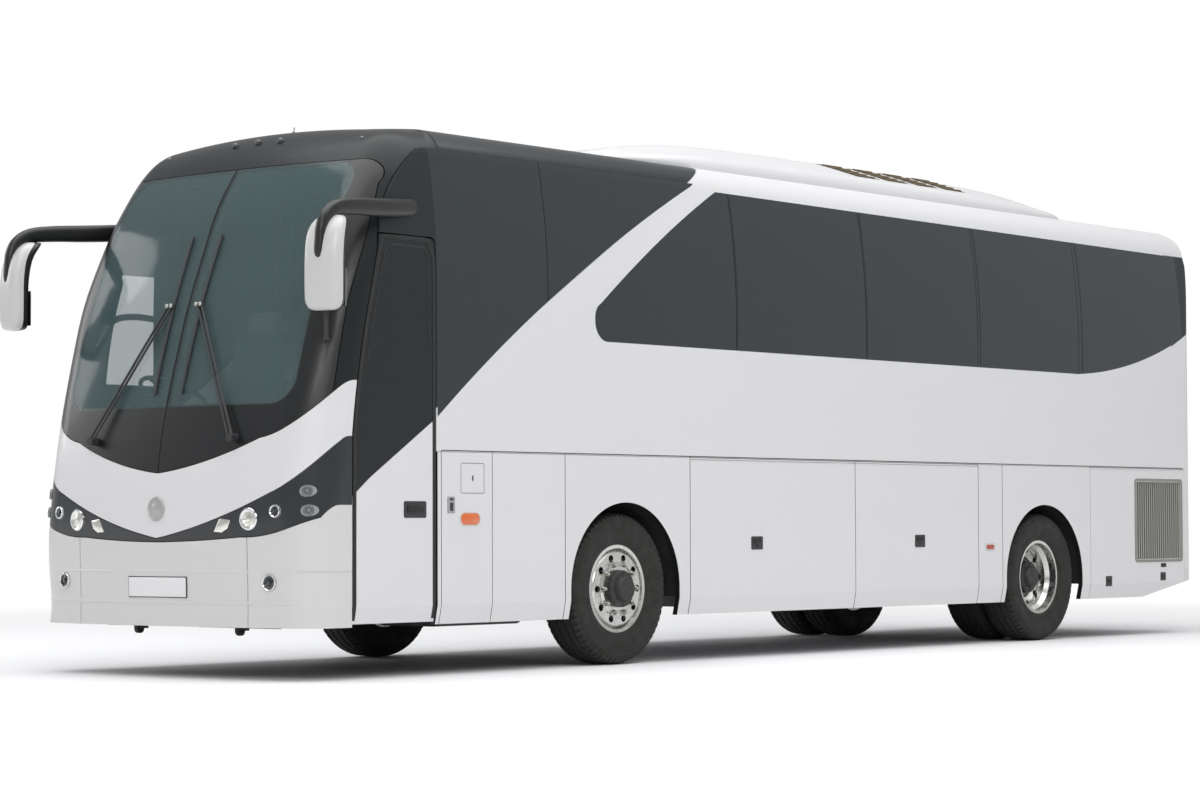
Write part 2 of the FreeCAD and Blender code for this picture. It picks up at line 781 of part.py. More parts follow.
def hatch_blades():
    """Sloping blades across the air opening of the engine hatch."""
    blades = []
    inside = rear_block(2.0).cut(rear_block(WALL - 4))
    for index in range(LOUVRE_COUNT):
        z = LOUVRE_Z0 + (index + 0.5) * LOUVRE_PITCH
        blade = side_prism([
            (5400, z + 18), (5400, z + 18 + BLADE), (5520, z - 22 + BLADE), (5520, z - 22),
        ], -LOUVRE_HALF - 6, LOUVRE_HALF + 6)
        blades.append(blade.common(inside))
    return blades


def rear_pieces():
    """Rear wall, window, lamps, bumper and hatch."""
    g = PANEL_GAP / 2
    shell = rear_block(0.0).cut(rear_block(WALL)).cut(rising_tail())
    low = box(-FAR, FAR, REAR_JOIN_Y, 5600, 200, DRIP_Z)
    high = box(-FAR, FAR, ROOF_JOIN_Y, 5600, DRIP_Z, 3700)
    shell = shell.common(fuse([low, high]))
    wx, wz0, wz1 = REAR_WINDOW
    window = front_prism([
        (-wx, wz0 + 90), (-wx + 26, wz0 + 26, -wx + 90, wz0), (wx - 90, wz0),
        (wx - 26, wz0 + 26, wx, wz0 + 90), (wx - 40, wz1 - 90),
        (wx - 66, wz1 - 26, wx - 130, wz1), (-wx + 130, wz1),
        (-wx + 66, wz1 - 26, -wx + 40, wz1 - 90),
    ], 5100, 5600)
    skin = rear_block(0.0).cut(rear_block(GLASS))
    glass = skin.common(window)
    hole = front_prism([
        (-wx + 60, wz0 + 60), (wx - 60, wz0 + 60), (wx - 100, wz1 - 60), (-wx + 100, wz1 - 60),
    ], 5100, 5600)
    lamp_layer = rear_block(0.0).cut(rear_block(20.0))
    lamp = lamp_layer.common(box(LAMP_X0, LAMP_X1, 5200, 5600, LAMP_Z0, LAMP_Z1))
    lamps = both(lamp)
    hatch_zone = box(-HATCH_HALF, HATCH_HALF, 5300, 5600, HATCH_Z0, HATCH_Z1)
    hatch = shell.common(box(
        -HATCH_HALF + PANEL_GAP, HATCH_HALF - PANEL_GAP, 5300, 5600,
        HATCH_Z0 + PANEL_GAP, HATCH_Z1 - PANEL_GAP - 8))
    wall = shell.cut(window.common(skin)).cut(hole).cut(hatch_zone)
    lugs, eyes, notches = hatch_hinges()
    for notch in notches:
        wall = wall.cut(notch)
    wall = fuse([wall] + lugs)
    hatch = fuse([hatch.cut(hatch_opening())] + eyes + hatch_blades())
    for piece in lamps:
        wall = wall.cut(piece)
    bumper_zone = box(-FAR, FAR, 5200, 5600, 200, HATCH_Z0 - g)
    bumper = wall.common(bumper_zone)
    wall = wall.cut(box(-FAR, FAR, 5200, 5600, 200, HATCH_Z0 - g))
    return wall, glass, lamps, hatch, bumper


# ================================================================ roof
HATCHES = (-3350.0, 4350.0)
HATCH_SIZE = 760.0


def roof_pieces():
    """Roof panel and the two escape hatches on it."""
    ring = body_ring(FAN_Y + PANEL_GAP, ROOF_JOIN_Y, 0.0, WALL)
    roof = ring.common(box(-OUT, OUT, FAN_Y, ROOF_JOIN_Y, DRIP_Z, 3700))
    lids = []
    outer = body_block(FAN_Y, 5300)
    for y in HATCHES:
        h = HATCH_SIZE / 2
        blank = box(-h, h, y - h, y + h, 3400, ROOF_TOP + 34)
        blank = blank.makeFillet(60, [e for e in blank.Edges if e.Vertexes[0].Z != e.Vertexes[1].Z])
        lids.append(blank.cut(outer))
    return roof, lids


POD_Y0 = -2030.0
POD_Y1 = 4010.0
POD_TOP = 3690.0
POD_HALF = 985.0
POD_TOP_HALF = 650.0
POD_CORNER = 420.0          # plan radius of the corners
CORNER_EASE = 8.0           # the corner arcs start this far outside the cover
POD_WALL = 14.0
VENT_Y0 = 546.0             # first side vent
VENT_PITCH = 460.0
VENT_COUNT = 4
VENT_LENGTH = 300.0
VENT_RAKE = 330.0           # the foot of a vent lies behind its top
VENT_Z0 = 3596.0
VENT_Z1 = 3664.0
COIL_FIT = 6.0              # coil block to the cover


def pod_block(d):
    """Filled form of the roof unit at depth d."""
    side = side_prism([
        (POD_Y0 + d, 3440), (POD_Y0 + 40 + d, 3550 - d),
        (-1640, 3640 - d, -900, 3681 - d),
        (300, POD_TOP - d, 1600, 3688 - d),
        (2700, 3676 - d, 3300, 3634 - d),
        (3760, 3585 - d, POD_Y1 - d, 3440),
    ], -FAR, FAR)
    half = POD_HALF - d
    above_top = POD_TOP + 30 - d
    across = front_prism([
        (-half, 3380), (-half, 3520),
        (-half + 34, 3572 - d, -half + 100, 3600 - d),
        (-POD_TOP_HALF, above_top), (POD_TOP_HALF, above_top),
        (half - 100, 3600 - d),
        (half - 34, 3572 - d, half, 3520),
        (half, 3380),
    ], -2300, 4300)
    y0 = POD_Y0 + d - CORNER_EASE
    y1 = POD_Y1 - d + CORNER_EASE
    wide = half + CORNER_EASE
    c = POD_CORNER
    k = c * (1 - math.sqrt(0.5))
    plan = plan_prism([
        (-wide, y0 + c), (-wide + k, y0 + k, -wide + c, y0), (wide - c, y0),
        (wide - k, y0 + k, wide, y0 + c), (wide, y1 - c), (wide - k, y1 - k, wide - c, y1),
        (-wide + c, y1), (-wide + k, y1 - k, -wide, y1 - c),
    ], 3350, 3800)
    return side.common(across).common(plan)


def vents():
    """Raked openings of the side vents of the roof unit."""
    cutters = []
    for index in range(VENT_COUNT):
        y = VENT_Y0 + index * VENT_PITCH
        steps = [
            (y, VENT_Z1), (y + VENT_LENGTH, VENT_Z1),
            (y + VENT_LENGTH + VENT_RAKE, VENT_Z0), (y + VENT_RAKE, VENT_Z0),
        ]
        cutters.append(side_prism(steps, POD_TOP_HALF - 60, FAR))
        cutters.append(side_prism(steps, -FAR, -POD_TOP_HALF + 60))
    return cutters


def roof_unit():
    """Air-conditioning cover, hollow, seated on the roof crown."""
    outer = body_block(-2500, 4600)
    cover = pod_block(0.0).cut(pod_block(POD_WALL)).cut(outer)
    for cutter in vents():
        cover = cover.cut(cutter)
    return cover


def condenser():
    """Coil block under the roof unit, seen through its vents."""
    y1 = VENT_Y0 + VENT_COUNT * VENT_PITCH + VENT_RAKE
    block = box(-POD_HALF, POD_HALF, VENT_Y0 - 60, y1, 3400, 3800)
    return block.common(pod_block(POD_WALL + COIL_FIT)).cut(body_block(-2500, 4600))


# ================================================================ entry door
ARM_X = 1100.0
ARM_Y = -4968.0
ARM_LENGTH = 450.0
ARM_BOW = 92.0
ARM_LEVELS = (760.0, 1440.0)
POST_R = 22.0
EYE_R = 26.0
PIN_R = 12.0
POST_LOW = 432.0
POST_HIGH = 1560.0


def door_arm():
    """Post with two bowed arms that swings the entry door outwards."""
    post = rod(Vector(ARM_X, ARM_Y, POST_LOW + RUN), Vector(ARM_X, ARM_Y, POST_HIGH - RUN), POST_R)
    parts = [post]
    mid_y = ARM_Y + ARM_LENGTH / 2
    end_y = ARM_Y + ARM_LENGTH
    for z in ARM_LEVELS:
        parts.append(plan_prism([
            (ARM_X - 17, ARM_Y),
            (ARM_X - ARM_BOW - 17, mid_y, ARM_X - 17, end_y),
            (ARM_X + 17, end_y),
            (ARM_X - ARM_BOW + 17, mid_y, ARM_X + 17, ARM_Y),
        ], z, z + 36))
        parts.append(rod(Vector(ARM_X, end_y, z), Vector(ARM_X, end_y, z + 36), EYE_R))
    arm = fuse(parts)
    bore = rod(Vector(ARM_X, end_y, 600), Vector(ARM_X, end_y, 2400), PIN_R + RUN)
    return arm.cut(bore)


def door_glass_zone():
    """Zone of the door glass, above the rising line."""
    rear = DOOR_REAR - DOOR_GAP
    rising = side_prism([
        (rear, 1606), (rear, 3000), (DOOR_FRONT - 60, 3000),
        (DOOR_FRONT - 60, 1120), (DOOR_FRONT + 20, 1150),
    ], 600, FAR)
    return door_zone(-14.0).common(rising)


def entry_door_pieces():
    """Door leaf with its arm brackets, and the glass bonded on it."""
    ring = body_ring(DOOR_FRONT - 100, DOOR_REAR + 100, 0.0, DOOR_WALL)
    leaf = ring.common(door_zone(0.0))
    layer = body_ring(DOOR_FRONT - 100, DOOR_REAR + 100, 0.0, GLASS)
    sheet = layer.common(door_glass_zone())
    leaf = leaf.cut(sheet)
    rear = DOOR_REAR - DOOR_GAP
    hole = side_prism([
        (rear - 95, 1690), (rear - 95, 2560), (rear - 107, 2598, rear - 145, 2610),
        (DOOR_FRONT + 300, 2610), (DOOR_FRONT + 170, 2020, DOOR_FRONT + 110, 1540),
        (DOOR_FRONT + 110, 1290),
    ], 900, FAR)
    leaf = leaf.cut(hole)
    end_y = ARM_Y + ARM_LENGTH
    parts = [leaf]
    face = HALF_WIDTH - DOOR_WALL
    for z in ARM_LEVELS:
        for low in (z - 16 - RUN, z + 36 + RUN):
            parts.append(box(ARM_X - 20, face + 2, end_y - 20, end_y + 20, low, low + 16))
        start = Vector(ARM_X, end_y, z - 10)
        parts.append(rod(start, start + Vector(0, 0, 56), PIN_R))
    if end_y > rear:
        raise ValueError("arm is longer than the door")
    rail = box(face - 14, face + 2, end_y - 60, end_y + 60, 1300, 1330)
    parts.append(rail)
    parts.append(box(face - 14, face + 4, end_y - 34, end_y + 34, ARM_LEVELS[0] - 40, ARM_LEVELS[1] + 80))
    return fuse(parts), sheet


def door_brackets():
    """Lower pad and upper bracket that carry the door post."""
    pad = box(ARM_X - 40, ARM_X + 40, ARM_Y - 30, ARM_Y + 40, POST_LOW - 12, POST_LOW)
    x1 = HALF_WIDTH - DOOR_WALL - CLEAR
    arm = box(ARM_X - 40, x1, DOOR_FRONT - 70, ARM_Y + 30, POST_HIGH, POST_HIGH + 24)
    foot = box(ARM_X, OUT, DOOR_FRONT - 70, DOOR_FRONT - 10, POST_HIGH, POST_HIGH + 24)
    lug = fuse([arm, foot]).common(cap_block(SKIN + FRAME_DEPTH))
    return [pad, lug]


# ================================================================ wheels
def tyre(x_out, y):
    """Tubeless tyre with rounded shoulders; outer face at x_out."""
    w = TYRE_W
    r = TYRE_R
    b = RIM_R
    steps = [
        (0.17 * w, b - 2), (0.17 * w, b + 14), (0.10 * w, b + 14), (0.02 * w, b + 50, 0, b + 90),
        (0.0, r - 70), (0.02 * w, r - 20, 0.10 * w, r - 8), (0.5 * w, r, 0.90 * w, r - 8),
        (0.98 * w, r - 20, w, r - 70), (w, b + 90), (0.98 * w, b + 50, 0.90 * w, b + 14),
        (0.83 * w, b + 14), (0.83 * w, b - 2),
    ]
    return ring_of(steps, x_out, y)


def ring_of(profile, x_out, y):
    """Revolve a profile of (inboard distance, radius) about the axle."""
    face = outline(profile, lambda a, c: Vector(x_out - a, y, TYRE_R + c))
    ring = face.revolve(Vector(x_out, y, TYRE_R), Vector(1, 0, 0), 360)
    if ring.Volume < 0:
        ring = face.revolve(Vector(x_out, y, TYRE_R), Vector(-1, 0, 0), 360)
    return ring


def rim_barrel(x_out, y):
    """Barrel of a wheel with both flanges and the drop well."""
    w = TYRE_W
    lip = RIM_R + 12
    a0 = 0.10 * w
    a1 = 0.90 * w
    return ring_of([
        (a0, lip), (a0 + 14, lip), (a0 + 18, RIM_R - 2.5), (a0 + 60, RIM_R - 8), (a0 + 90, RIM_R - 34),
        (a1 - 90, RIM_R - 34), (a1 - 60, RIM_R - 8), (a1 - 18, RIM_R - 2.5), (a1 - 14, lip), (a1, lip),
        (a1 - 2, RIM_R - 14), (a1 - 58, RIM_R - 20), (a1 - 90, RIM_R - 46),
        (a0 + 90, RIM_R - 46), (a0 + 58, RIM_R - 20), (a0 + 2, RIM_R - 14),
    ], x_out, y)


HAND_HOLES = 10
HUB_BORE = 60.0


def front_wheel(x_out, y):
    """Wheel with its disc near the outer face, hand holes and hub cap."""
    disc = ring_of([
        (64, RIM_R - 15), (34, RIM_R - 36), (30, RIM_R - 42), (30, 178), (22, 158), (22, 122), (2, 116),
        (-4, 100), (-6, 60), (-6, 0), (14, 0), (14, HUB_BORE), (150, HUB_BORE), (150, HUB_BORE + 22),
        (60, 100), (50, 124), (50, RIM_R - 42), (54, RIM_R - 36), (84, RIM_R - 15),
    ], x_out, y)
    for index in range(HAND_HOLES):
        turn = 2 * math.pi * index / HAND_HOLES
        cy = y + 212 * math.cos(turn)
        cz = TYRE_R + 212 * math.sin(turn)
        disc = disc.cut(rod(Vector(x_out - 56, cy, cz), Vector(x_out - 10, cy, cz), 24))
    return disc.fuse(rim_barrel(x_out, y)).removeSplitter()


def rear_wheel(x_out, y, deep):
    """Wheel of the twin pair; its disc lies on the inner side when deep."""
    w = TYRE_W
    s = -1 if deep else 1
    mount_a = w / 2 - s * (w / 2 + DUAL_GAP / 2)
    reach = w / 2 + DUAL_GAP / 2 - 50
    profile = (
        (0, 108), (0, 166), (18, 184), (reach, 184), (reach, RIM_R - 14),
        (reach + 14, RIM_R - 14), (reach + 14, 170), (22, 170), (14, 160), (14, 108),
    )
    disc = ring_of([(mount_a + s * q, r) for q, r in profile], x_out, y)
    for index in range(HAND_HOLES):
        turn = 2 * math.pi * index / HAND_HOLES
        cy = y + 224 * math.cos(turn)
        cz = TYRE_R + 224 * math.sin(turn)
        start = Vector(x_out - mount_a - s * (reach - 20), cy, cz)
        end = Vector(x_out - mount_a - s * (reach + 40), cy, cz)
        disc = disc.cut(rod(start, end, 22))
    return disc.fuse(rim_barrel(x_out, y)).removeSplitter()


def knuckle():
    """Left steering knuckle: kingpin eye, brake drum back plate and spindle."""
    y = FRONT_AXLE_Y
    z = TYRE_R
    fork = box(KINGPIN_X - 60, KINGPIN_X + 44, y - 55, y + 55, z - 120, z + 120)
    slot = box(KINGPIN_X - 80, KINGPIN_X + 28, y - 80, y + 80, z - 62 - RUN, z + 62 + RUN)
    fork = fork.cut(slot)
    pin = rod(Vector(KINGPIN_X - 20, y, z - 110), Vector(KINGPIN_X - 20, y, z + 110), 22)
    spindle = rod(Vector(KINGPIN_X + 30, y, z), Vector(WHEEL_OUT - 30, y, z), HUB_BORE - RUN)
    plate = rod(Vector(KINGPIN_X + 28, y, z), Vector(KINGPIN_X + 44, y, z), 190)
    lever = box(KINGPIN_X - 60, KINGPIN_X - 10, y + 50, y + 210, z - 110, z - 80)
    return fuse([fork, pin, spindle, plate, lever])


def front_axle():
    """Dropped beam with a kingpin boss at each end."""
    y = FRONT_AXLE_Y
    z = TYRE_R
    pin_x = KINGPIN_X - 20
    beam = front_prism([
        (-pin_x, z - 62), (-pin_x, z + 62), (-pin_x + 60, z + 62), (-620, z - 20), (620, z - 20),
        (pin_x - 60, z + 62), (pin_x, z + 62), (pin_x, z - 62), (pin_x - 80, z - 62),
        (640, z - 120), (-640, z - 120), (-pin_x + 80, z - 62),
    ], y - 42, y + 42)
    for side in (-1, 1):
        x = side * pin_x
        beam = beam.fuse(rod(Vector(x, y, z - 62), Vector(x, y, z + 62), 42))
        beam = beam.cut(rod(Vector(x, y, z - 100), Vector(x, y, z + 100), 22 + RUN))
    return beam.removeSplitter()


def rear_axle():
    """Banjo housing with tapered tubes and the ends of the hubs."""
    y = REAR_AXLE_Y
    z = TYRE_R
    centre = Part.makeSphere(215, Vector(0, y, z))
    centre = centre.common(box(-150, 150, y - 300, y + 300, z - 215, z + 215))
    tubes = []
    for side in (-1, 1):
        tubes.append(rod(Vector(side * 100, y, z), Vector(side * (WHEEL_OUT - 180), y, z), 62))
    nose = rod(Vector(0, y + 100, z + 10), Vector(0, y + 420, z + 30), 80)
    return fuse([centre, nose] + tubes)


def rear_hub(y):
    """Hub drum between the twin wheels with a flange for both discs."""
    mid = WHEEL_OUT - TYRE_W - DUAL_GAP / 2
    hub = rod(Vector(mid - 150, y, TYRE_R), Vector(mid + 130, y, TYRE_R), 108)
    flange = rod(Vector(mid - 0.0, y, TYRE_R), Vector(mid + 14, y, TYRE_R), 108)
    drum = rod(Vector(mid - 220, y, TYRE_R), Vector(mid - 30, y, TYRE_R), 200)
    cap = rod(Vector(mid + 120, y, TYRE_R), Vector(mid + 190, y, TYRE_R), 92)
    bore = rod(Vector(mid - 300, y, TYRE_R), Vector(mid + 150, y, TYRE_R), 62 + RUN)
    return fuse([hub, flange, drum, cap]).cut(bore)


def wheel_housing(axle_y, x_in):
    """Housing over a wheel, open downwards and outwards."""
    z = TYRE_R

    def form(r, x0, low):
        return side_prism([
            (axle_y - r, low), (axle_y - r, z), (axle_y, z + r, axle_y + r, z), (axle_y + r, low),
        ], x0, HALF_WIDTH - SKIRT_WALL)

    notch = box(x_in - 40, x_in + 20, axle_y - 150, axle_y + 100, 300, z + 150)
    low = TUCK_Z + 5
    return form(ARCH_R + 20, x_in - 15, low).cut(form(ARCH_R, x_in, low - 20)).cut(notch)


# ================================================================ structure
RAIL_X = 500.0
RAIL_W = 80.0
RAIL_Z0 = 640.0
RAIL_Z1 = 840.0
ENGINE_FIT = 0.3           # engine block to rail, at its mounts


TOW_R = 12.0                # pin hole of the towing lugs
TOW_TIP_R = 30.0
TOW_PLATE = 30.0            # thickness of a towing lug
TOW_REACH = 42.0            # pin hole beyond the rail end
TOW_FRONT_Z = 290.0         # pin holes lie under the bumpers
TOW_REAR_Z = 424.0
RAIL_FRONT_Y = -5180.0
RAIL_REAR_Y = 5300.0
JACK_PAD = 120.0            # side of a jacking pad
JACK_DROP = 24.0
JACK_Y = (FRONT_AXLE_Y + 620.0, REAR_AXLE_Y - 570.0)
SKID_Z = 306.0              # lower edge of the front skid plates
SKID_T = 16.0


def tow_lug(end_y, way, z):
    """Left towing lug at a rail end; way is -1 at the front and 1 at the tail."""
    x = RAIL_X - RAIL_W / 2
    y = end_y + way * TOW_REACH
    half = TOW_PLATE / 2
    r = TOW_TIP_R
    root = end_y - way * TUCK
    tip_y = y + way * r
    plate = box(x - half, x + half, min(root, tip_y), max(root, tip_y), z, RAIL_Z0 + 60)
    tip = rod(Vector(x - half, y, z), Vector(x + half, y, z), r)
    bore = rod(Vector(x - half - 1, y, z), Vector(x + half + 1, y, z), TOW_R)
    return fuse([plate, tip]).cut(bore)


def jack_pad(y):
    """Left jacking pad under a rail."""
    x = RAIL_X - RAIL_W / 2
    return box(x - RAIL_W / 2, x + RAIL_W / 2, y - JACK_PAD / 2, y + JACK_PAD / 2,
               RAIL_Z0 - JACK_DROP, RAIL_Z0)


def skid_plates():
    """Plates across the front ends of the rails, just below the bumper."""
    y = RAIL_FRONT_Y
    inner = RAIL_X - RAIL_W
    left = box(60, 780, y - SKID_T, y, SKID_Z, RAIL_Z0 + 60)
    right = box(-780, -620, y - SKID_T, y, SKID_Z, RAIL_Z0 + 60)
    link = box(-620, -inner, y - SKID_T, y, RAIL_Z0, RAIL_Z0 + 60)
    return left, fuse([right, link])


def chassis_frame():
    """Front and rear sub-frames and the cross members between the rails."""
    inner = RAIL_X - RAIL_W
    front = [
        box(inner, RAIL_X, RAIL_FRONT_Y, BAY_FRONT_Y, RAIL_Z0, RAIL_Z1),
        tow_lug(RAIL_FRONT_Y, -1, TOW_FRONT_Z), jack_pad(JACK_Y[0]),
    ]
    rear = [
        box(inner, RAIL_X, BAY_REAR_Y, RAIL_REAR_Y, RAIL_Z0, RAIL_Z1),
        tow_lug(RAIL_REAR_Y, 1, TOW_REAR_Z), jack_pad(JACK_Y[1]),
    ]
    left_plate, right_plate = skid_plates()
    rails = [
        fuse(front + [left_plate]),
        fuse([mirrored(piece) for piece in front] + [right_plate]),
    ]
    rails.extend(both(fuse(rear)))
    for y in (RAIL_FRONT_Y, -4300.0, -3300.0, -1860.0, BAY_REAR_Y, REAR_AXLE_Y + 740, RAIL_REAR_Y - 80):
        rails.append(box(-inner, inner, y, y + 80, RAIL_Z0 + 40, RAIL_Z1))
    return rails


TANK_Y0 = -4180.0
TANK_Y1 = -3380.0
TANK_Z0 = 300.0
TANK_Z1 = 820.0
TANK_X0 = 640.0


def fuel_tanks():
    """Tank on each side behind the skirt, with its brackets to the rail."""
    half = HALF_WIDTH - SKIRT_WALL - TUCK - CLEAR
    tank = box(TANK_X0, half, TANK_Y0, TANK_Y1, TANK_Z0, TANK_Z1)
    tank = tank.makeFillet(60, [e for e in tank.Edges if abs(e.Vertexes[0].Y - e.Vertexes[1].Y) > 100])
    parts = [tank]
    for y in (TANK_Y0 + 120, TANK_Y1 - 180):
        parts.append(box(RAIL_X, TANK_X0 + 40, y, y + 60, RAIL_Z0 + 20, RAIL_Z0 + 120))
    return both(fuse(parts))


def luggage_bays():
    """Floor and bulkheads of the luggage bays, open at both sides."""
    half = HALF_WIDTH - SKIRT_WALL - TUCK - CLEAR
    top = FLOOR_Z - PLATE
    parts = [box(-half, half, BAY_FRONT_Y, BAY_REAR_Y, BAY_FLOOR_Z - 40, BAY_FLOOR_Z)]
    for y in (BAY_FRONT_Y, FLAP_LINES[1] - 15, FLAP_LINES[2] + 20, BAY_REAR_Y - 30):
        parts.append(box(-half, half, y, y + 30, BAY_FLOOR_Z - 40, top))
    return fuse(parts)


def cabin_floor():
    """Passenger floor, driver's platform, steps and their risers."""
    half = HALF_WIDTH - WALL
    slab = box(-half, half, PLATFORM_END, REAR_JOIN_Y - 20, FLOOR_Z - PLATE, FLOOR_Z)
    riser = box(-half, half, PLATFORM_END, PLATFORM_END + PLATE, PLATFORM_Z - PLATE, FLOOR_Z)
    platform = box(-half, 300, -5300, PLATFORM_END + PLATE, PLATFORM_Z - PLATE, PLATFORM_Z)
    landing = box(300, half, DOOR_REAR + 10, PLATFORM_END + PLATE, PLATFORM_Z - PLATE, PLATFORM_Z)
    back = box(600, half - CLEAR, DOOR_REAR + 10, DOOR_REAR + 40, 390, PLATFORM_Z)
    back_top = box(300, 600, DOOR_REAR + 10, DOOR_REAR + 40, 860, PLATFORM_Z)
    well_y0 = DOOR_FRONT + 20
    treads = ((300.0, 600.0, 890.0), (600.0, 880.0, 655.0), (880.0, 1196.0, 420.0))
    parts = [slab, riser, platform, landing, back, back_top]
    above_z = PLATFORM_Z
    for x0, x1, z in treads:
        parts.append(box(x0, x1, well_y0, DOOR_REAR + 20, z - PLATE, z))
        parts.append(box(x0, x0 + 20, well_y0, DOOR_REAR + 20, z - PLATE, above_z))
        above_z = z
    return fuse(parts).common(fuse([cap_block(SKIN + FRAME_DEPTH), box(-HALF_WIDTH, HALF_WIDTH, -4790, 5400, 0, 3000)]))


def seat(x0, width, y):
    """One coach seat: pedestal, cushion and raked back."""
    z = FLOOR_Z
    back = side_prism([
        (y, z + 330), (y + 20, z + 450), (y + 400, z + 430), (y + 470, z + 850), (y + 500, z + 1090),
        (y + 530, z + 1120, y + 570, z + 1090), (y + 580, z + 850), (y + 530, z + 430), (y + 490, z + 330),
    ], x0, x0 + width)
    leg = side_prism([
        (y + 120, z), (y + 150, z + 335), (y + 400, z + 335), (y + 430, z),
    ], x0 + width / 2 - 20, x0 + width / 2 + 20)
    return fuse([back, leg])


def passenger_seats():
    """Rows of two seats on each side of the aisle."""
    seats = []
    for row in range(SEAT_ROWS):
        y = FIRST_ROW_Y + row * SEAT_PITCH
        for x0 in (245.0, 695.0):
            seats.extend(both(seat(x0, 440.0, y)))
    return seats


DRIVER_X = -650.0


def driver_place():
    """Driver's seat on its pedestal."""
    y = -4560.0
    z = PLATFORM_Z
    back = side_prism([
        (y, z + 400), (y + 10, z + 500), (y + 440, z + 480), (y + 530, z + 1150),
        (y + 570, z + 1180, y + 610, z + 1150), (y + 560, z + 420),
    ], DRIVER_X - 240, DRIVER_X + 240)
    base = box(DRIVER_X - 160, DRIVER_X + 160, y + 80, y + 460, z, z + 410)
    return fuse([back, base])


@functools.lru_cache
def dashboard():
    """Instrument panel that follows the inside of the front."""
    blank = side_prism([
        (-5600, PLATFORM_Z), (-4930, PLATFORM_Z), (-4930, 1300), (-4860, 1560), (-4960, 1660),
        (-5600, 1560),
    ], -1185, 620)
    return blank.common(cap_block(SKIN + FRAME_DEPTH + FRAME_FIT))


WHEEL_TILT = 28.0


def steering_wheel():
    """Rim, spokes and column in front of the driver."""
    centre = Vector(DRIVER_X, -4760.0, 1800.0)
    lean = Vector(0, math.sin(math.radians(WHEEL_TILT)), math.cos(math.radians(WHEEL_TILT)))
    rim = Part.makeTorus(225, 15, centre, lean)
    across = Vector(1, 0, 0)
    along = lean.cross(across)
    parts = [rim]
    for way in (across, across * -1, along * -1):
        parts.append(rod(centre - lean * 10, centre - lean * 10 + way * 222, 12))
    parts.append(rod(centre, centre - lean * 60, 55))
    parts.append(rod(centre, centre - lean * 360, 32))
    return fuse(parts).cut(dashboard())


def engine_block():
    """Engine at the tail between the rails."""
    half = RAIL_X - RAIL_W - ENGINE_FIT
    return box(-half, half, 3960, 5080, 520, 1230)


def air_springs():
    """Air spring bellows between axles and rails."""
    springs = []
    rows = ((FRONT_AXLE_Y, TYRE_R - 20, 38.0), (REAR_AXLE_Y, TYRE_R + 62.3, 50.0))
    for y, low, radius in rows:
        for side in (-1, 1):
            x = side * (RAIL_X - RAIL_W / 2)
            springs.append(rod(Vector(x, y, low), Vector(x, y, RAIL_Z0), radius))
    return springs


# ================================================================ outside fittings
MIRROR_X = HALF_WIDTH + 165.0   # upright axis of the left mirror head
MIRROR_Y = -5445.0
MIRROR_TOE = 15.0           # degrees that the head looks outwards
HEAD_HALF = 124.0           # half width of the head
HEAD_Z0 = 2220.0
HEAD_Z1 = 2806.0
HEAD_CORNER = 60.0
CASE_DEPTH = 56.0           # dark case behind the painted shell
GLASS_RIM = 14.0
# Centre line of the left arm, and half width and half height at each station.
ARM_WAY = (
    (HALF_WIDTH - 74.0, -4399.0, 2930.0, 33.0, 57.0),
    (HALF_WIDTH + 12.0, -4650.0, 2906.0, 33.0, 57.0),
    (HALF_WIDTH + 70.0, -4900.0, 2886.0, 32.0, 56.0),
    (HALF_WIDTH + 116.0, -5130.0, 2874.0, 32.0, 54.0),
    (HALF_WIDTH + 150.0, -5330.0, 2854.0, 32.0, 50.0),
    (HALF_WIDTH + 167.0, -5462.0, 2780.0, 32.0, 36.0),
    (HALF_WIDTH + 171.0, -5498.0, 2660.0, 31.0, 25.0),
    (HALF_WIDTH + 171.0, -5506.0, 2540.0, 30.0, 20.0),
)
ARM_SQUARE = 0.80           # fullness of the arm's rounded section
DROP_ROD = (MIRROR_X - 11.0, -5446.0, 13.0, 2050.0)


def arm_ring(centre, way, half_x, half_n):
    """Closed smooth ring across the arm."""
    across = Vector(1, 0, 0)
    up = way.cross(across).normalize()
    points = []
    q = ARM_SQUARE
    for a, b in ((1, 0), (q, q), (0, 1), (-q, q), (-1, 0), (-q, -q), (0, -1), (q, -q)):
        points.append(centre + across * (a * half_x) + up * (b * half_n))
    curve = Part.BSplineCurve()
    curve.interpolate(points, PeriodicFlag=True)
    return Part.Wire([curve.toShape()])


def arm_beam():
    """Left mirror arm from the side wall to the front of the head."""
    centres = [Vector(x, y, z) for x, y, z, a, b in ARM_WAY]
    rings = []
    for index, station in enumerate(ARM_WAY):
        before = centres[max(index - 1, 0)]
        after = centres[min(index + 1, len(centres) - 1)]
        way = (after - before).normalize()
        rings.append(arm_ring(centres[index], way, station[3], station[4]))
    return Part.makeLoft(rings, True, True)


def head_outline(inset=0.0):
    """Rounded front outline of the head."""
    w = HEAD_HALF - inset
    z0 = HEAD_Z0 + inset
    z1 = HEAD_Z1 + 120
    c = HEAD_CORNER
    k = c * (1 - math.sqrt(0.5))
    return front_prism([
        (-w, z0 + c), (-w + k, z0 + k, -w + c, z0), (w - c, z0), (w - k, z0 + k, w, z0 + c),
        (w, z1), (-w, z1),
    ], -300, 400)


def turn_head(shape):
    """Put a piece of the head in its place on the vehicle."""
    placed = shape.copy()
    placed.rotate(Vector(0, 0, 0), Vector(0, 0, 1), MIRROR_TOE)
    placed.translate(Vector(MIRROR_X, MIRROR_Y, 0))
    return placed


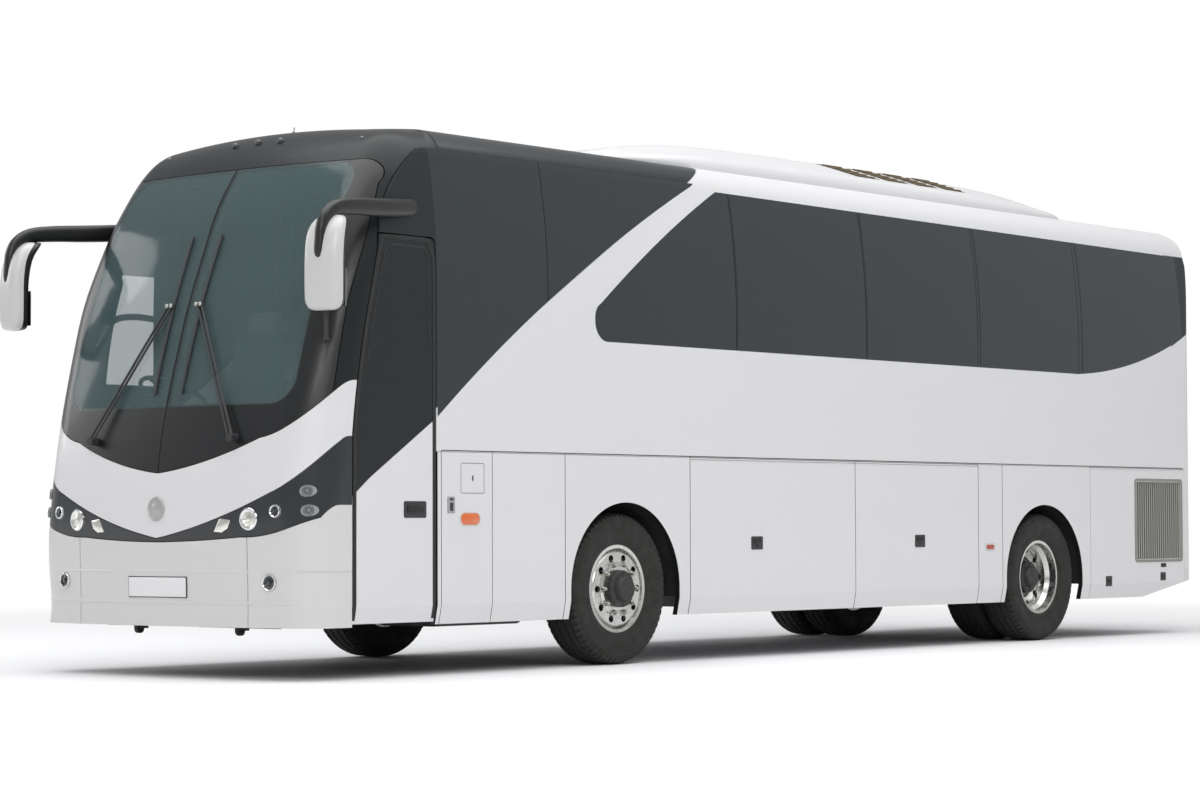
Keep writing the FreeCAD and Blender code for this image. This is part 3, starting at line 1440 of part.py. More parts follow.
def mirror_head():
    """Painted shell, dark case and glass of the left mirror head."""
    d = CASE_DEPTH
    shell = side_prism([
        (0, HEAD_Z0), (-34, HEAD_Z0), (-62, 2234, -72, 2284), (-80, 2430, -74, 2570),
        (-52, 2700, 30, 2792), (62, 2816, 96, 2806), (118, 2790),
        (28, 2690, 6, 2560), (0, 2480),
    ], -HEAD_HALF, HEAD_HALF).common(head_outline())
    case = side_prism([
        (0, HEAD_Z0 + 4), (d - 8, HEAD_Z0 + 4), (d, HEAD_Z0 + 20), (d, 2480), (d + 6, 2560),
        (d + 18, 2640, d + 96, 2716), (d + 128, 2744), (d + 110, 2782),
        (118, 2790), (28, 2690, 6, 2560), (0, 2480),
    ], -HEAD_HALF, HEAD_HALF).common(head_outline())
    pane = box(-HEAD_HALF + GLASS_RIM, HEAD_HALF - GLASS_RIM, d - 4, d + 2, HEAD_Z0 + 30, 2476)
    case = case.cut(pane)
    return turn_head(shell), turn_head(case), turn_head(pane)


def mirror_pieces():
    """Left arm with the dark case, painted shell and glass."""
    shell, case, pane = mirror_head()
    beam = arm_beam().cut(body_block(-5600, -4000)).cut(cap_block(0.0))
    shell = shell.cut(beam)
    x, y, r, low = DROP_ROD
    drop = rod(Vector(x, y + 20, low), Vector(x, y + 20, HEAD_Z0 + 40), r)
    case = fuse([case, drop.cut(shell)])
    return [beam, case], shell, pane


def wiper():
    """Left wiper: pivot, twin rods and the blade that follows the glass."""
    pivot = Vector(635, -5478, 1487)
    joint = Vector(134, -5262, 2331)
    parts = [rod(Vector(635, -5490, 1480), Vector(635, -5380, 1480), 26)]
    for dx in (-17, 17):
        parts.append(rod(pivot + Vector(dx, 0, 0), joint + Vector(dx, 0, 0), 8))
    curve = Part.Arc(Vector(122, -5404, 1760), Vector(127, -5236, 2331), Vector(132, -5068, 2780))
    edge = curve.toShape()
    start_way = edge.tangentAt(edge.FirstParameter)
    disc = Part.Face(Part.Wire([Part.makeCircle(11, edge.Vertexes[0].Point, start_way)]))
    turn = math.degrees(edge.Length / edge.Curve.Radius)
    parts.append(disc.revolve(edge.Curve.Center, edge.Curve.Axis, turn))
    parts.append(rod(joint + Vector(-24, 0, 0), joint + Vector(24, 0, 0), 14))
    parts.append(rod(joint, Vector(127, -5232, 2331), 9))
    return fuse(parts).cut(cap_block(-0.1))


def build():
    """Make every piece and write it."""
    os.makedirs("parts", exist_ok=True)

    dome, panes, mask, lamps, bumpers = front_pieces()
    write("front_dome", [dome])
    write("windscreens", panes)
    write("front_mask", [mask])
    write("headlamps", [lamps])
    write("front_bumper", bumpers)
    write("lamp_units", lamp_units())
    write("front_frame", [front_frame_pieces()])

    wall, glass = side_wall_and_glass(True)
    write("side_wall_left", [wall])
    write("side_glass_left", glass)
    wall, glass = side_wall_and_glass(False)
    write("side_wall_right", [mirrored(wall)])
    write("side_glass_right", [mirrored(pane) for pane in glass])
    write("skirt_left", skirt_panels(True))
    write("skirt_right", [mirrored(panel) for panel in skirt_panels(False)])
    rail = hinge_rail(FLAP_LINES[0], FLAP_LINES[2])
    rear_rail = hinge_rail(PANEL_LINES[2], REAR_JOIN_Y)
    write("hinge_rails", both(rail) + both(rear_rail))

    front_flap = flap(FLAP_LINES[0], FLAP_LINES[1], SILL_Z)
    rear_flap = flap(FLAP_LINES[1], FLAP_LINES[2], SILL_Z)
    write("luggage_door_left_front", [front_flap])
    write("luggage_door_left_rear", [rear_flap])
    write("luggage_door_right_front", [mirrored(front_flap)])
    write("luggage_door_right_rear", [mirrored(rear_flap)])
    bay_door = engine_door()
    write("engine_door_left", [bay_door])
    write("engine_door_right", [mirrored(bay_door)])

    wall, glass, tail_lamps, hatch, bumper = rear_pieces()
    write("rear_wall", [wall])
    write("rear_window", [glass])
    write("tail_lamps", tail_lamps)
    write("engine_hatch", [hatch])
    write("rear_bumper", [bumper])

    roof, lids = roof_pieces()
    write("roof_panel", [roof])
    write("roof_hatches", lids)
    write("roof_unit", [roof_unit()])
    write("condenser", [condenser()])

    leaf, sheet = entry_door_pieces()
    write("entry_door", [leaf])
    write("entry_door_glass", [sheet])
    write("door_arm", [door_arm()])
    write("door_brackets", door_brackets())

    y = FRONT_AXLE_Y
    front_tyre = tyre(WHEEL_OUT, y)
    front_rim = front_wheel(WHEEL_OUT, y)
    write("tyre_front_left", [front_tyre])
    write("tyre_front_right", [mirrored(front_tyre)])
    write("rim_front_left", [front_rim])
    write("rim_front_right", [mirrored(front_rim)])
    y = REAR_AXLE_Y
    second = WHEEL_OUT - TYRE_W - DUAL_GAP
    rear_tyres = [tyre(WHEEL_OUT, y), tyre(second, y)]
    rear_rims = [fuse([rear_wheel(WHEEL_OUT, y, True), rear_wheel(second, y, False), rear_hub(y)])]
    write("tyres_rear_left", rear_tyres)
    write("tyres_rear_right", [mirrored(t) for t in rear_tyres])
    write("rims_rear_left", rear_rims)
    write("rims_rear_right", [mirrored(r) for r in rear_rims])
    write("knuckle_left", [knuckle()])
    write("knuckle_right", [mirrored(knuckle())])
    write("front_axle", [front_axle()])
    write("rear_axle", [rear_axle()])

    write("chassis_frame", chassis_frame())
    write("fuel_tanks", fuel_tanks())
    write("luggage_bays", [luggage_bays()])
    write("cabin_floor", [cabin_floor()])
    housings = both(wheel_housing(FRONT_AXLE_Y + ARCH_FRONT_SHIFT, 560.0))
    housings += both(wheel_housing(REAR_AXLE_Y + 8, 575.0))
    write("wheel_housings", housings)
    write("passenger_seats", passenger_seats())
    write("driver_seat", [driver_place()])
    write("dashboard", [dashboard()])
    write("steering_wheel", [steering_wheel()])
    write("engine_block", [engine_block()])
    write("air_springs", air_springs())

    dark, shell, pane = mirror_pieces()
    write("mirror_arms", dark + [mirrored(piece) for piece in dark])
    write("mirror_heads", both(shell))
    write("mirror_glasses", both(pane))
    write("wipers", both(wiper()))


if __name__ == "__main__":
    build()
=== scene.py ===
"""Looks of a two-axle touring coach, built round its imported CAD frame."""
import json
import logging
import math
from dataclasses import dataclass
from enum import Enum
from functools import cached_property, reduce
from typing import Iterable, Optional, Sequence, Union

import bmesh
import bpy
from mathutils import Matrix, Vector
from mathutils.bvhtree import BVHTree


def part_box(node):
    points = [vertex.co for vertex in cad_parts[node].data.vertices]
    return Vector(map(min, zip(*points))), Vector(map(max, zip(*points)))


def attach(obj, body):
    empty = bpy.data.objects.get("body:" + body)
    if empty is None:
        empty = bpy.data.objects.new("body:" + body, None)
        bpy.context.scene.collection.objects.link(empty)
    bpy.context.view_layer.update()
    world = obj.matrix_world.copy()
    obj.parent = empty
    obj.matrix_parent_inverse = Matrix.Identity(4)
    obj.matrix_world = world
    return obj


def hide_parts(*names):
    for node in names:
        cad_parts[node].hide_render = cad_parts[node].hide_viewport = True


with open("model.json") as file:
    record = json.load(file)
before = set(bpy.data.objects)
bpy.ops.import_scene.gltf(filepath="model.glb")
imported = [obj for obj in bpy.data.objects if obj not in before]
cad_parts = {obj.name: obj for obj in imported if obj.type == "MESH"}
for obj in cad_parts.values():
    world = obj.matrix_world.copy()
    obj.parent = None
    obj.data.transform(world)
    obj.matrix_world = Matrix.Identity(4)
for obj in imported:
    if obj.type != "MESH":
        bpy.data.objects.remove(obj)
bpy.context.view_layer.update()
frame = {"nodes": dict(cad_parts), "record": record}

log = logging.getLogger("coach")
Point = tuple[float, float, float]
Flat = tuple[float, float]
# centre along and up, then full length and height
Box = tuple[float, float, float, float]
Colour = tuple[float, float, float, float]
Socket = bpy.types.NodeSocket
Value = Union[Socket, float]
UP, ALONG, ACROSS = Vector((0, 0, 1)), Vector((0, 1, 0)), Vector((1, 0, 0))
move = Matrix.Translation


# ---------------------------------------------------------------- small tools
def linear(hex_colour: str) -> Colour:
    """Turn an sRGB hex colour into linear RGBA.

    Args:
        hex_colour: six hex digits, with or without a leading #.

    Returns:
        Linear red, green and blue, and an alpha of 1.
    """
    digits = hex_colour.lstrip("#")
    out = []
    for start in (0, 2, 4):
        value = int(digits[start:start + 2], 16) / 255
        out.append(value / 12.92 if value <= 0.04045 else ((value + 0.055) / 1.055) ** 2.4)
    return out[0], out[1], out[2], 1.0


def per_metre(size_mm: float) -> float:
    """Texture scale whose features are size_mm across, with metres as coordinates."""
    return 1000.0 / size_mm


def add_node(tree: bpy.types.NodeTree, kind: str, values: Optional[dict] = None) -> bpy.types.Node:
    """Add a node, set its values and link its inputs.

    Args:
        tree: the node tree.
        kind: the node's type name.
        values: by input name or number, or by property name. A socket is linked, all else is set.

    Returns:
        The new node.
    """
    made = tree.nodes.new(kind)
    for key, value in (values or {}).items():
        if isinstance(value, Socket):
            tree.links.new(value, made.inputs[key])
        elif isinstance(key, int) or key in made.inputs:
            made.inputs[key].default_value = value
        else:
            setattr(made, key, value)
    return made


class Graph:
    """An emptied node tree, with short ways to add what the looks share."""

    def __init__(self, owner: Union[bpy.types.Material, bpy.types.World]) -> None:
        """Empty the owner's node tree.

        Args:
            owner: material or world.
        """
        owner.use_nodes = True
        self.tree = owner.node_tree
        self.tree.nodes.clear()

    def node(self, kind: str, values: Optional[dict] = None) -> bpy.types.Node:
        """Add a shader node by the end of its type name."""
        return add_node(self.tree, "ShaderNode" + kind, values)

    @cached_property
    def place(self) -> Socket:
        """Texture coordinates, in metres."""
        return self.node("TexCoord").outputs["Object"]

    def axes(self, vector: Optional[Socket] = None) -> Sequence[Socket]:
        """Split a vector, or the texture coordinates, into X, Y and Z."""
        return self.node("SeparateXYZ", {0: vector or self.place}).outputs

    def maths(self, operation: str, *values: Value) -> Socket:
        """Result of a maths node on sockets and plain numbers."""
        return self.node("Math", {"operation": operation, **dict(enumerate(values))}).outputs[0]

    def ramp(self, value: Value, low: float, high: float, first: float = 0.0, last: float = 1.0) -> Socket:
        """Straight ramp of a value, held level outside its limits."""
        return self.node("MapRange", {0: value, 1: low, 2: high, 3: first, 4: last}).outputs[0]

    def step(self, value: Value, edge: float, soft: float) -> Socket:
        """Rise from 0 to 1 across an edge, or fall where soft is negative."""
        return self.ramp(value, edge - soft, edge + soft)

    def all_of(self, *masks: Socket) -> Socket:
        """Product of masks."""
        return reduce(lambda one, two: self.maths("MULTIPLY", one, two), masks)

    def noise(self, size_mm: float, detail: float) -> Socket:
        """Cloudy noise with features of one size."""
        scale = per_metre(size_mm)
        return self.node("TexNoise", {"Scale": scale, "Detail": detail, "Vector": self.place}).outputs[0]

    def mix(self, share: Value, one: bpy.types.Node, two: bpy.types.Node) -> Socket:
        """Blend two shaders."""
        return self.node("MixShader", {0: share, 1: one.outputs[0], 2: two.outputs[0]}).outputs[0]

    def seen_by(self, *rays: str) -> Socket:
        """1 for either of two kinds of ray."""
        path = self.node("LightPath").outputs
        return self.maths("MAXIMUM", *(path[f"Is {ray} Ray"] for ray in rays))


# ---------------------------------------------------------------- finishes
class Surface(Graph):
    """Graph of a material round its main shader."""

    def __init__(self, owner: bpy.types.Material, values: dict) -> None:
        """Put in the main shader.

        Args:
            owner: the material.
            values: constants of the main shader by input name.
        """
        super().__init__(owner)
        self.shader = self.node("BsdfPrincipled", values)
        self.node("OutputMaterial", {"Surface": self.shader.outputs[0]})

    def feed(self, name: str, source: Socket) -> None:
        """Link a socket into the main shader."""
        self.tree.links.new(source, self.shader.inputs[name])

    def relief(self, height: Socket, strength: float, distance: float) -> None:
        """Use a height as bump."""
        bump = self.node("Bump", {"Strength": strength, "Distance": distance, "Height": height})
        self.feed("Normal", bump.outputs[0])


@dataclass(frozen=True)
class Finish:
    """A material with constant shader values and a pattern of its own."""

    name: str
    colour: str
    roughness: float = 0.5
    metallic: float = 0.0
    coat: float = 0.0
    coat_roughness: float = 0.05
    ior: float = 1.5
    alpha: float = 1.0
    grain_mm: float = 8.0
    grain_depth: float = 0.0
    mottle: float = 0.04
    mottle_mm: float = 400.0

    def build(self) -> bpy.types.Material:
        """Make the material once and share it.

        Returns:
            The Blender material.
        """
        found = bpy.data.materials.get(self.name)
        if found:
            return found
        material = bpy.data.materials.new(self.name)
        self.pattern(Surface(material, {
            "Base Color": linear(self.colour), "Roughness": self.roughness, "Metallic": self.metallic,
            "IOR": self.ior, "Coat Weight": self.coat, "Coat Roughness": self.coat_roughness,
            "Alpha": self.alpha,
        }))
        return material

    def pattern(self, s: Surface) -> None:
        """Add the surface's own pattern."""
        s.feed("Base Color", self.tint(s, self.colour))
        self.grain(s)

    def tint(self, s: Surface, hex_colour: str) -> Socket:
        """Cloudy variation of a colour over the surface.

        Args:
            s: the surface.
            hex_colour: middle colour.

        Returns:
            The colour socket.
        """
        low, high = ([min(1.0, c * (1 + way * self.mottle)) for c in linear(hex_colour)[:3]] + [1.0]
                     for way in (-1, 1))
        clouds = s.noise(self.mottle_mm, 3.0)
        return s.node("Mix", {"data_type": "RGBA", 0: clouds, 6: low, 7: high}).outputs[2]

    def grain(self, s: Surface) -> None:
        """Add the fine relief."""
        if self.grain_depth:
            s.relief(s.noise(self.grain_mm, 2.0), 1.0, self.grain_depth / 1000)

    def two_tone(self, s: Surface, mask: Socket, second: Union[Socket, Colour]) -> None:
        """Show a second colour where a mask is 1.

        Args:
            s: the surface.
            mask: 1 where the second colour shows.
            second: that colour.
        """
        mix = s.node("Mix", {"data_type": "RGBA", 0: mask, 6: self.tint(s, self.colour), 7: second})
        s.feed("Base Color", mix.outputs[2])
        self.grain(s)


@dataclass(frozen=True)
class SwooshEnamel(Finish):
    """White enamel with the black field forward of the rising curve on the flanks and roof."""

    dark: str = "#202528"
    # height of the curve in metres: start + slope * y + bend * y * y
    start: float = 4.051
    slope: float = 0.399
    bend: float = -0.0363
    tail: float = -1.330
    soft: float = 0.004
    # band behind the last side window: its lower edge rises to the rear corner
    fore: float = 5.060
    band_low: float = 0.280
    band_rise: float = 0.430
    band_ceiling: float = 2.600
    band_high: float = 3.249

    def pattern(self, s: Surface) -> None:
        """Mask black over white along the curve and in the rear band.

        Args:
            s: the surface.
        """
        _, y, z = s.axes()
        curve = s.maths("MULTIPLY_ADD", s.maths("MULTIPLY_ADD", y, self.bend, self.slope), y, self.start)
        above = s.step(s.maths("SUBTRACT", z, curve), 0.0, self.soft)
        front = s.all_of(above, s.step(y, self.tail, -self.soft))
        foot = s.maths("MINIMUM", s.maths("MULTIPLY_ADD", y, self.band_rise, self.band_low), self.band_ceiling)
        band = s.all_of(s.step(s.maths("SUBTRACT", z, foot), 0.0, self.soft),
                        s.step(z, self.band_high, -self.soft), s.step(y, self.fore, self.soft))
        self.two_tone(s, s.maths("MAXIMUM", front, band), self.tint(s, self.dark))


@dataclass(frozen=True)
class GapShadedEnamel(Finish):
    """White enamel panel whose returns and cut edges, every face turned away from the flank, are painted
    near-black for the shade that falls in gaps, arch returns and undersides: painted shade.
    """

    # near-black standing in for shade on faces turned away from the flank: painted shade
    gap_shade_colour: str = "#1B1C1D"
    facing: float = 0.55

    def pattern(self, s: Surface) -> None:
        """Mask the faces that turn away from the flank.

        Args:
            s: the surface.
        """
        normal = s.node("NewGeometry").outputs["True Normal"]
        across = s.maths("ABSOLUTE", s.axes(normal)[0])
        # faces turned away from the flank are painted dark: painted shade in gaps and under the panel
        self.two_tone(s, s.maths("LESS_THAN", across, self.facing), self.tint(s, self.gap_shade_colour))


@dataclass(frozen=True)
class GrilleEnamel(Finish):
    """White enamel door whose air slats are left in bare anodised metal."""

    slats: str = "#A3A39B"
    fore: float = 4.425
    rear: float = 5.196
    low: float = 0.636
    high: float = 1.292
    soft: float = 0.002

    def pattern(self, s: Surface) -> None:
        """Mask the slats.

        Args:
            s: the surface.
        """
        _, y, z = s.axes()
        sides = ((y, self.fore, 1), (y, self.rear, -1), (z, self.low, 1), (z, self.high, -1))
        inside = s.all_of(*(s.step(axis, edge, way * self.soft) for axis, edge, way in sides))
        self.two_tone(s, inside, self.tint(s, self.slats))


@dataclass(frozen=True)
class ScreenGlass(Finish):
    """Laminated screen: a clear field inside a black ceramic border."""

    border: str = "#0D0F11"
    border_roughness: float = 0.34
    half_width: float = 1.02
    bottom: float = 1.690
    top: float = 3.215
    corner: float = 0.16
    seam: float = 0.012
    seam_soft: float = 0.004
    soft: float = 0.012
    clear: float = 0.36

    def pattern(self, s: Surface) -> None:
        """Mask the border by distance from a rounded rectangle.

        Args:
            s: the surface.
        """
        x, _, z = s.axes()
        x = s.maths("ABSOLUTE", x)
        z = s.maths("ABSOLUTE", s.maths("SUBTRACT", z, (self.top + self.bottom) / 2))
        out = (s.maths("MAXIMUM", s.maths("SUBTRACT", axis, half - self.corner), 0.0)
               for axis, half in ((x, self.half_width), (z, (self.top - self.bottom) / 2)))
        flat = s.node("CombineXYZ", dict(enumerate(out))).outputs[0]
        reach = s.node("VectorMath", {"operation": "LENGTH", 0: flat}).outputs["Value"]
        joint = s.ramp(x, self.seam + self.seam_soft, self.seam)
        mask = s.maths("MAXIMUM", s.step(reach, self.corner, self.soft), joint)
        self.two_tone(s, mask, self.tint(s, self.border))
        s.feed("Alpha", s.ramp(mask, 0.0, 1.0, self.clear, 1.0))
        s.feed("Roughness", s.ramp(mask, 0.0, 1.0, self.roughness, self.border_roughness))


@dataclass(frozen=True)
class FlankGlass(Finish):
    """Privacy glass; the driver's pane at the front of the right flank is clearer, and painted a pale green
    that stands in for the bright backdrop seen through it: painted light.
    """

    # pale green standing in for the backdrop's light seen through the driver's pane: painted light
    backdrop_light_tint: str = "#7FCFBE"
    pane_rear: float = -4.385
    pane_low: float = 1.885
    pane_high: float = 2.680
    soft: float = 0.004
    clear: float = 0.18

    def pattern(self, s: Surface) -> None:
        """Make the driver's pane clearer and paint in the pale light of the backdrop seen through it.

        Args:
            s: the surface.
        """
        x, y, z = s.axes()
        ahead = s.all_of(s.step(y, self.pane_rear, -self.soft), s.ramp(x, 0.0, -0.1))
        level = s.all_of(s.step(z, self.pane_low, self.soft), s.step(z, self.pane_high, -self.soft))
        mask = s.all_of(ahead, level)
        # the driver's pane is painted pale: painted light of the backdrop seen through it, over a real clearer
        # pane
        self.two_tone(s, mask, linear(self.backdrop_light_tint))
        s.feed("Alpha", s.ramp(mask, 0.0, 1.0, 1.0, self.clear))


@dataclass(frozen=True)
class FlutedLens(Finish):
    """Moulded lens with fine upright flutes towards the flanks."""

    flute_mm: float = 22.0
    flute_from: float = -5.330
    flute_fade: float = 0.05

    def grain(self, s: Surface) -> None:
        """Add the flutes as relief.

        Args:
            s: the surface.
        """
        wave = s.node("TexWave", {
            "wave_type": "BANDS", "bands_direction": "Y", "Scale": per_metre(self.flute_mm) / 20,
            "Distortion": 1.5, "Detail": 1.0, "Detail Scale": 0.6, "Vector": s.place}).outputs[1]
        side = s.ramp(s.axes()[1], self.flute_from, self.flute_from + self.flute_fade)
        s.relief(s.all_of(wave, side), 0.6, 0.004)


@dataclass(frozen=True)
class WovenFinish(Finish):
    """Woven cloth with crossing threads."""

    thread_mm: float = 6.0

    def grain(self, s: Surface) -> None:
        """Add warp and weft as relief.

        Args:
            s: the surface.
        """
        threads = (s.node("TexWave", {"bands_direction": way, "Scale": per_metre(self.thread_mm) / 20,
                                      "Vector": s.place}).outputs[1] for way in "XZ")
        s.relief(s.maths("MAXIMUM", *threads), 0.5, 0.0008)


@dataclass(frozen=True)
class Scuffed(Finish):
    """Surface whose roughness varies with handling, dust and road dirt."""

    rough_low: float = 0.4
    rough_high: float = 0.7
    patch_mm: float = 60.0

    def pattern(self, s: Surface) -> None:
        """Add colour, roughness and relief."""
        super().pattern(s)
        s.feed("Roughness", s.ramp(s.noise(self.patch_mm, 4.0), 0.3, 0.7, self.rough_low, self.rough_high))


# Two-pack enamel, sprayed over steel: an even white with a clear wet gloss and faint orange peel.
ORANGE_PEEL = dict(coat_roughness=0.07, grain_mm=12, grain_depth=0.010, mottle=0.012, mottle_mm=900)
ENAMEL = dict(colour="#D4D4D5", roughness=0.32, coat=0.25, **ORANGE_PEEL)
WHITE = Finish("sprayed_white_enamel", **ENAMEL)
SWOOSH = SwooshEnamel("two_tone_sprayed_enamel", "#D4D4D5", 0.34, coat=0.10, ior=1.40, **ORANGE_PEEL)
GRILLE_DOOR = GrilleEnamel("sprayed_enamel_with_slats", **ENAMEL)
# skirt and luggage door panels: white enamel with painted shade on their returns and edges
GAP_SHADED = GapShadedEnamel("sprayed_enamel_with_painted_gap_shade", **ENAMEL)
# Painted glass-fibre moulding: the same paint, slightly warmer and duller than the steel panels.
BUMPER = Finish("painted_glassfibre_moulding", "#CACAC8", 0.36, coat=0.30, coat_roughness=0.10,
                grain_mm=20, grain_depth=0.018, mottle=0.015, mottle_mm=600)
# Black gel-coated roof cap: dark, with a soft wide gloss.
BLACK = Finish("black_gelcoat_dome", "#1C1F21", 0.36, coat=0.06, coat_roughness=0.12, ior=1.32,
               grain_mm=15, grain_depth=0.012, mottle=0.03, mottle_mm=700)
# Float glass with a dark body tint: mirror-smooth, nearly opaque from outside.
TINTED = dict(roughness=0.10, coat=0.22, ior=1.52, mottle=0.05)
SIDE_GLASS = FlankGlass("body_tinted_float_glass", "#252C2F", mottle_mm=1500, **TINTED)
DOOR_GLASS = Finish("body_tinted_door_glass", "#12171A", alpha=0.93, mottle_mm=1200, **TINTED)
# Laminated glass, green-grey, with a fired black ceramic border.
SCREEN = ScreenGlass("laminated_green_screen", "#5A6F71", 0.08, coat=0.1, ior=1.52, mottle_mm=1500)
# Polycarbonate lens, injection moulded over a black housing: glossy, with flutes at its flanks.
LENS = FlutedLens("smoked_polycarbonate_lens", "#25282B", 0.20, coat=0.25, mottle=0.12, mottle_mm=140)
# Vacuum-metallised bowl: bright mirror, slightly hazed.
SILVER_BOWL = Scuffed("metallised_reflector", "#E4E2DC", 0.2, metallic=1.0, rough_low=0.16, rough_high=0.34,
                      patch_mm=18, grain_mm=10, grain_depth=0.3)
# Projector lens: clear moulded dome over a dark bowl.
DARK_BOWL = Finish("smoked_projector_lens", "#26282C", 0.10, coat=0.8, mottle=0.1, mottle_mm=30)
# Chromed plastic ring: sharp highlights.
CHROME = Scuffed("chrome_plated_ring", "#E6E7E8", 0.1, metallic=1.0, rough_low=0.06, rough_high=0.14)
# Ribbed acrylic lens over a grey bowl, and the plain moulded covers beside it.
GREY_LENS = Finish("ribbed_grey_acrylic", "#77797A", 0.22, coat=0.6, grain_mm=4, grain_depth=0.5, mottle=0.25,
                   mottle_mm=14)
CLEAR_CAP = Finish("clear_acrylic_cover", "#8F9396", 0.12, coat=0.7, mottle=0.1, mottle_mm=40)
PEARL = Finish("moulded_pale_abs", "#C2C2C1", 0.34, coat=0.25, mottle=0.02, mottle_mm=80)
# Satin-plated disc: a soft grey against the paint.
BADGE = Finish("satin_plated_disc", "#A9A9A8", 0.34, metallic=0.35, coat=0.2, mottle_mm=60)
# Beaded reflective film on flat sheet.
PLATE = Finish("reflective_plate_sheet", "#DDDDDE", 0.40, mottle=0.015, mottle_mm=60, grain_mm=2,
               grain_depth=0.02)
# Acrylic lenses, moulded with fine inner ribs.
RIBBED = dict(roughness=0.18, coat=0.6, grain_mm=5, grain_depth=0.5, mottle=0.12, mottle_mm=12)
AMBER = Finish("amber_acrylic_lens", "#D4672F", **RIBBED)
RED = Finish("red_acrylic_lens", "#A83226", **RIBBED)
# Chassis paint: brushed black over plate, dusty from the road.
STEEL = Scuffed("brushed_chassis_black", "#262627", 0.6, rough_low=0.5, rough_high=0.8, patch_mm=90,
                grain_mm=6, grain_depth=0.15, mottle=0.25, mottle_mm=160)
# Extruded black rubber and the grey joint sealant between panels.
RUBBER = Scuffed("extruded_epdm_rubber", "#1D1E1F", 0.7, rough_low=0.55, rough_high=0.75, grain_mm=3,
                 grain_depth=0.05, mottle=0.1, mottle_mm=60)
SEAM = Finish("seam_sealant", "#7C7E80", 0.6, mottle=0.05, mottle_mm=100)
# Injection-moulded fittings: grained black and plain grey.
PLASTIC = Scuffed("grained_black_abs", "#2B2C2E", 0.5, rough_low=0.38, rough_high=0.55, grain_mm=2,
                  grain_depth=0.06, mottle=0.08, mottle_mm=50)
GREY_TRIM = Finish("grey_moulded_abs", "#9A9B9C", 0.45, mottle=0.05, mottle_mm=40, grain_mm=2,
                   grain_depth=0.04)
# Mirror arm and case: satin-painted black moulding.
SATIN = Finish("satin_black_moulding", "#131415", 0.38, coat=0.1, coat_roughness=0.2, grain_mm=6,
               grain_depth=0.02, mottle=0.06, mottle_mm=120)
# Louvre insert of the roof unit: sun-faded brown blades over a sheet of the same brown made darker, which
# stands in for the shade in the openings between them: painted shade.
LOUVRE_OPENING_SHADE = Finish("louvre_opening_painted_shade", "#3A3228", 0.8, grain_mm=3, grain_depth=0.2, mottle=0.2, mottle_mm=30)
LOUVRE = Finish("faded_brown_moulding", "#7A6A50", 0.6, mottle=0.12, mottle_mm=60, grain_mm=3,
                grain_depth=0.05)
# Rolled slats, anodised and dulled by road dirt.
GRILLE = Scuffed("anodised_louvre_slats", "#8B8B85", 0.45, metallic=0.3, rough_low=0.38, rough_high=0.6,
                 patch_mm=70, mottle=0.06, mottle_mm=60)
# Natural rubber tread compound, dusty: matt, brownish black.
TYRE = Scuffed("vulcanised_tread_rubber", "#20201D", 0.8, rough_low=0.65, rough_high=0.9, patch_mm=80,
               grain_mm=3, grain_depth=0.12, mottle=0.22, mottle_mm=90)
# Forged aluminium wheel, polished after turning: bright with fine streaks and road film.
ALLOY = Scuffed("polished_forged_aluminium", "#CBCBC8", 0.25, metallic=1.0, rough_low=0.14, rough_high=0.36,
                patch_mm=40, grain_mm=25, grain_depth=0.06, mottle=0.10, mottle_mm=70)
# Zinc-plated nuts on a brush-painted hub casting.
NUT_STEEL = Scuffed("plated_wheel_nut_steel", "#B9B8B2", 0.3, metallic=1.0, rough_low=0.2, rough_high=0.45,
                    patch_mm=15)
HUB_IRON = Scuffed("painted_hub_casting", "#2C2B2A", 0.55, rough_low=0.4, rough_high=0.7, patch_mm=30,
                   grain_mm=5, grain_depth=0.2, mottle=0.2, mottle_mm=40)
# Engine and axle castings, as they come from the sand.
IRON = Scuffed("sand_cast_iron", "#3A3734", 0.65, metallic=0.6, rough_low=0.5, rough_high=0.8, grain_mm=4,
               grain_depth=0.3, mottle=0.2, mottle_mm=60)
# Zinc-coated sheet lining of the luggage bays.
SHEET = Scuffed("rolled_zinc_sheet", "#8A8C8E", 0.45, metallic=0.8, rough_low=0.35, rough_high=0.6, patch_mm=35,
                mottle=0.1, mottle_mm=50)
# Saloon: speckled vinyl floor, wool moquette seats and a slush-moulded dashboard skin.
FLOOR = Finish("speckled_vinyl_floor", "#4A4B50", 0.75, mottle=0.35, mottle_mm=8, grain_mm=6, grain_depth=0.1)
MOQUETTE = WovenFinish("woven_seat_moquette", "#39435A", 0.9, mottle=0.18, mottle_mm=25)
PIPING = WovenFinish("woven_headrest_cloth", "#6E7480", 0.9, mottle=0.1, mottle_mm=30)
DASH = Finish("slush_moulded_dash_skin", "#3A3C3F", 0.62, grain_mm=3, grain_depth=0.15, mottle=0.08,
              mottle_mm=120)
# Silvered flat glass.
MIRROR = Finish("silvered_mirror_glass", "#E0E2E3", 0.02, metallic=1.0, mottle=0.01, mottle_mm=300)

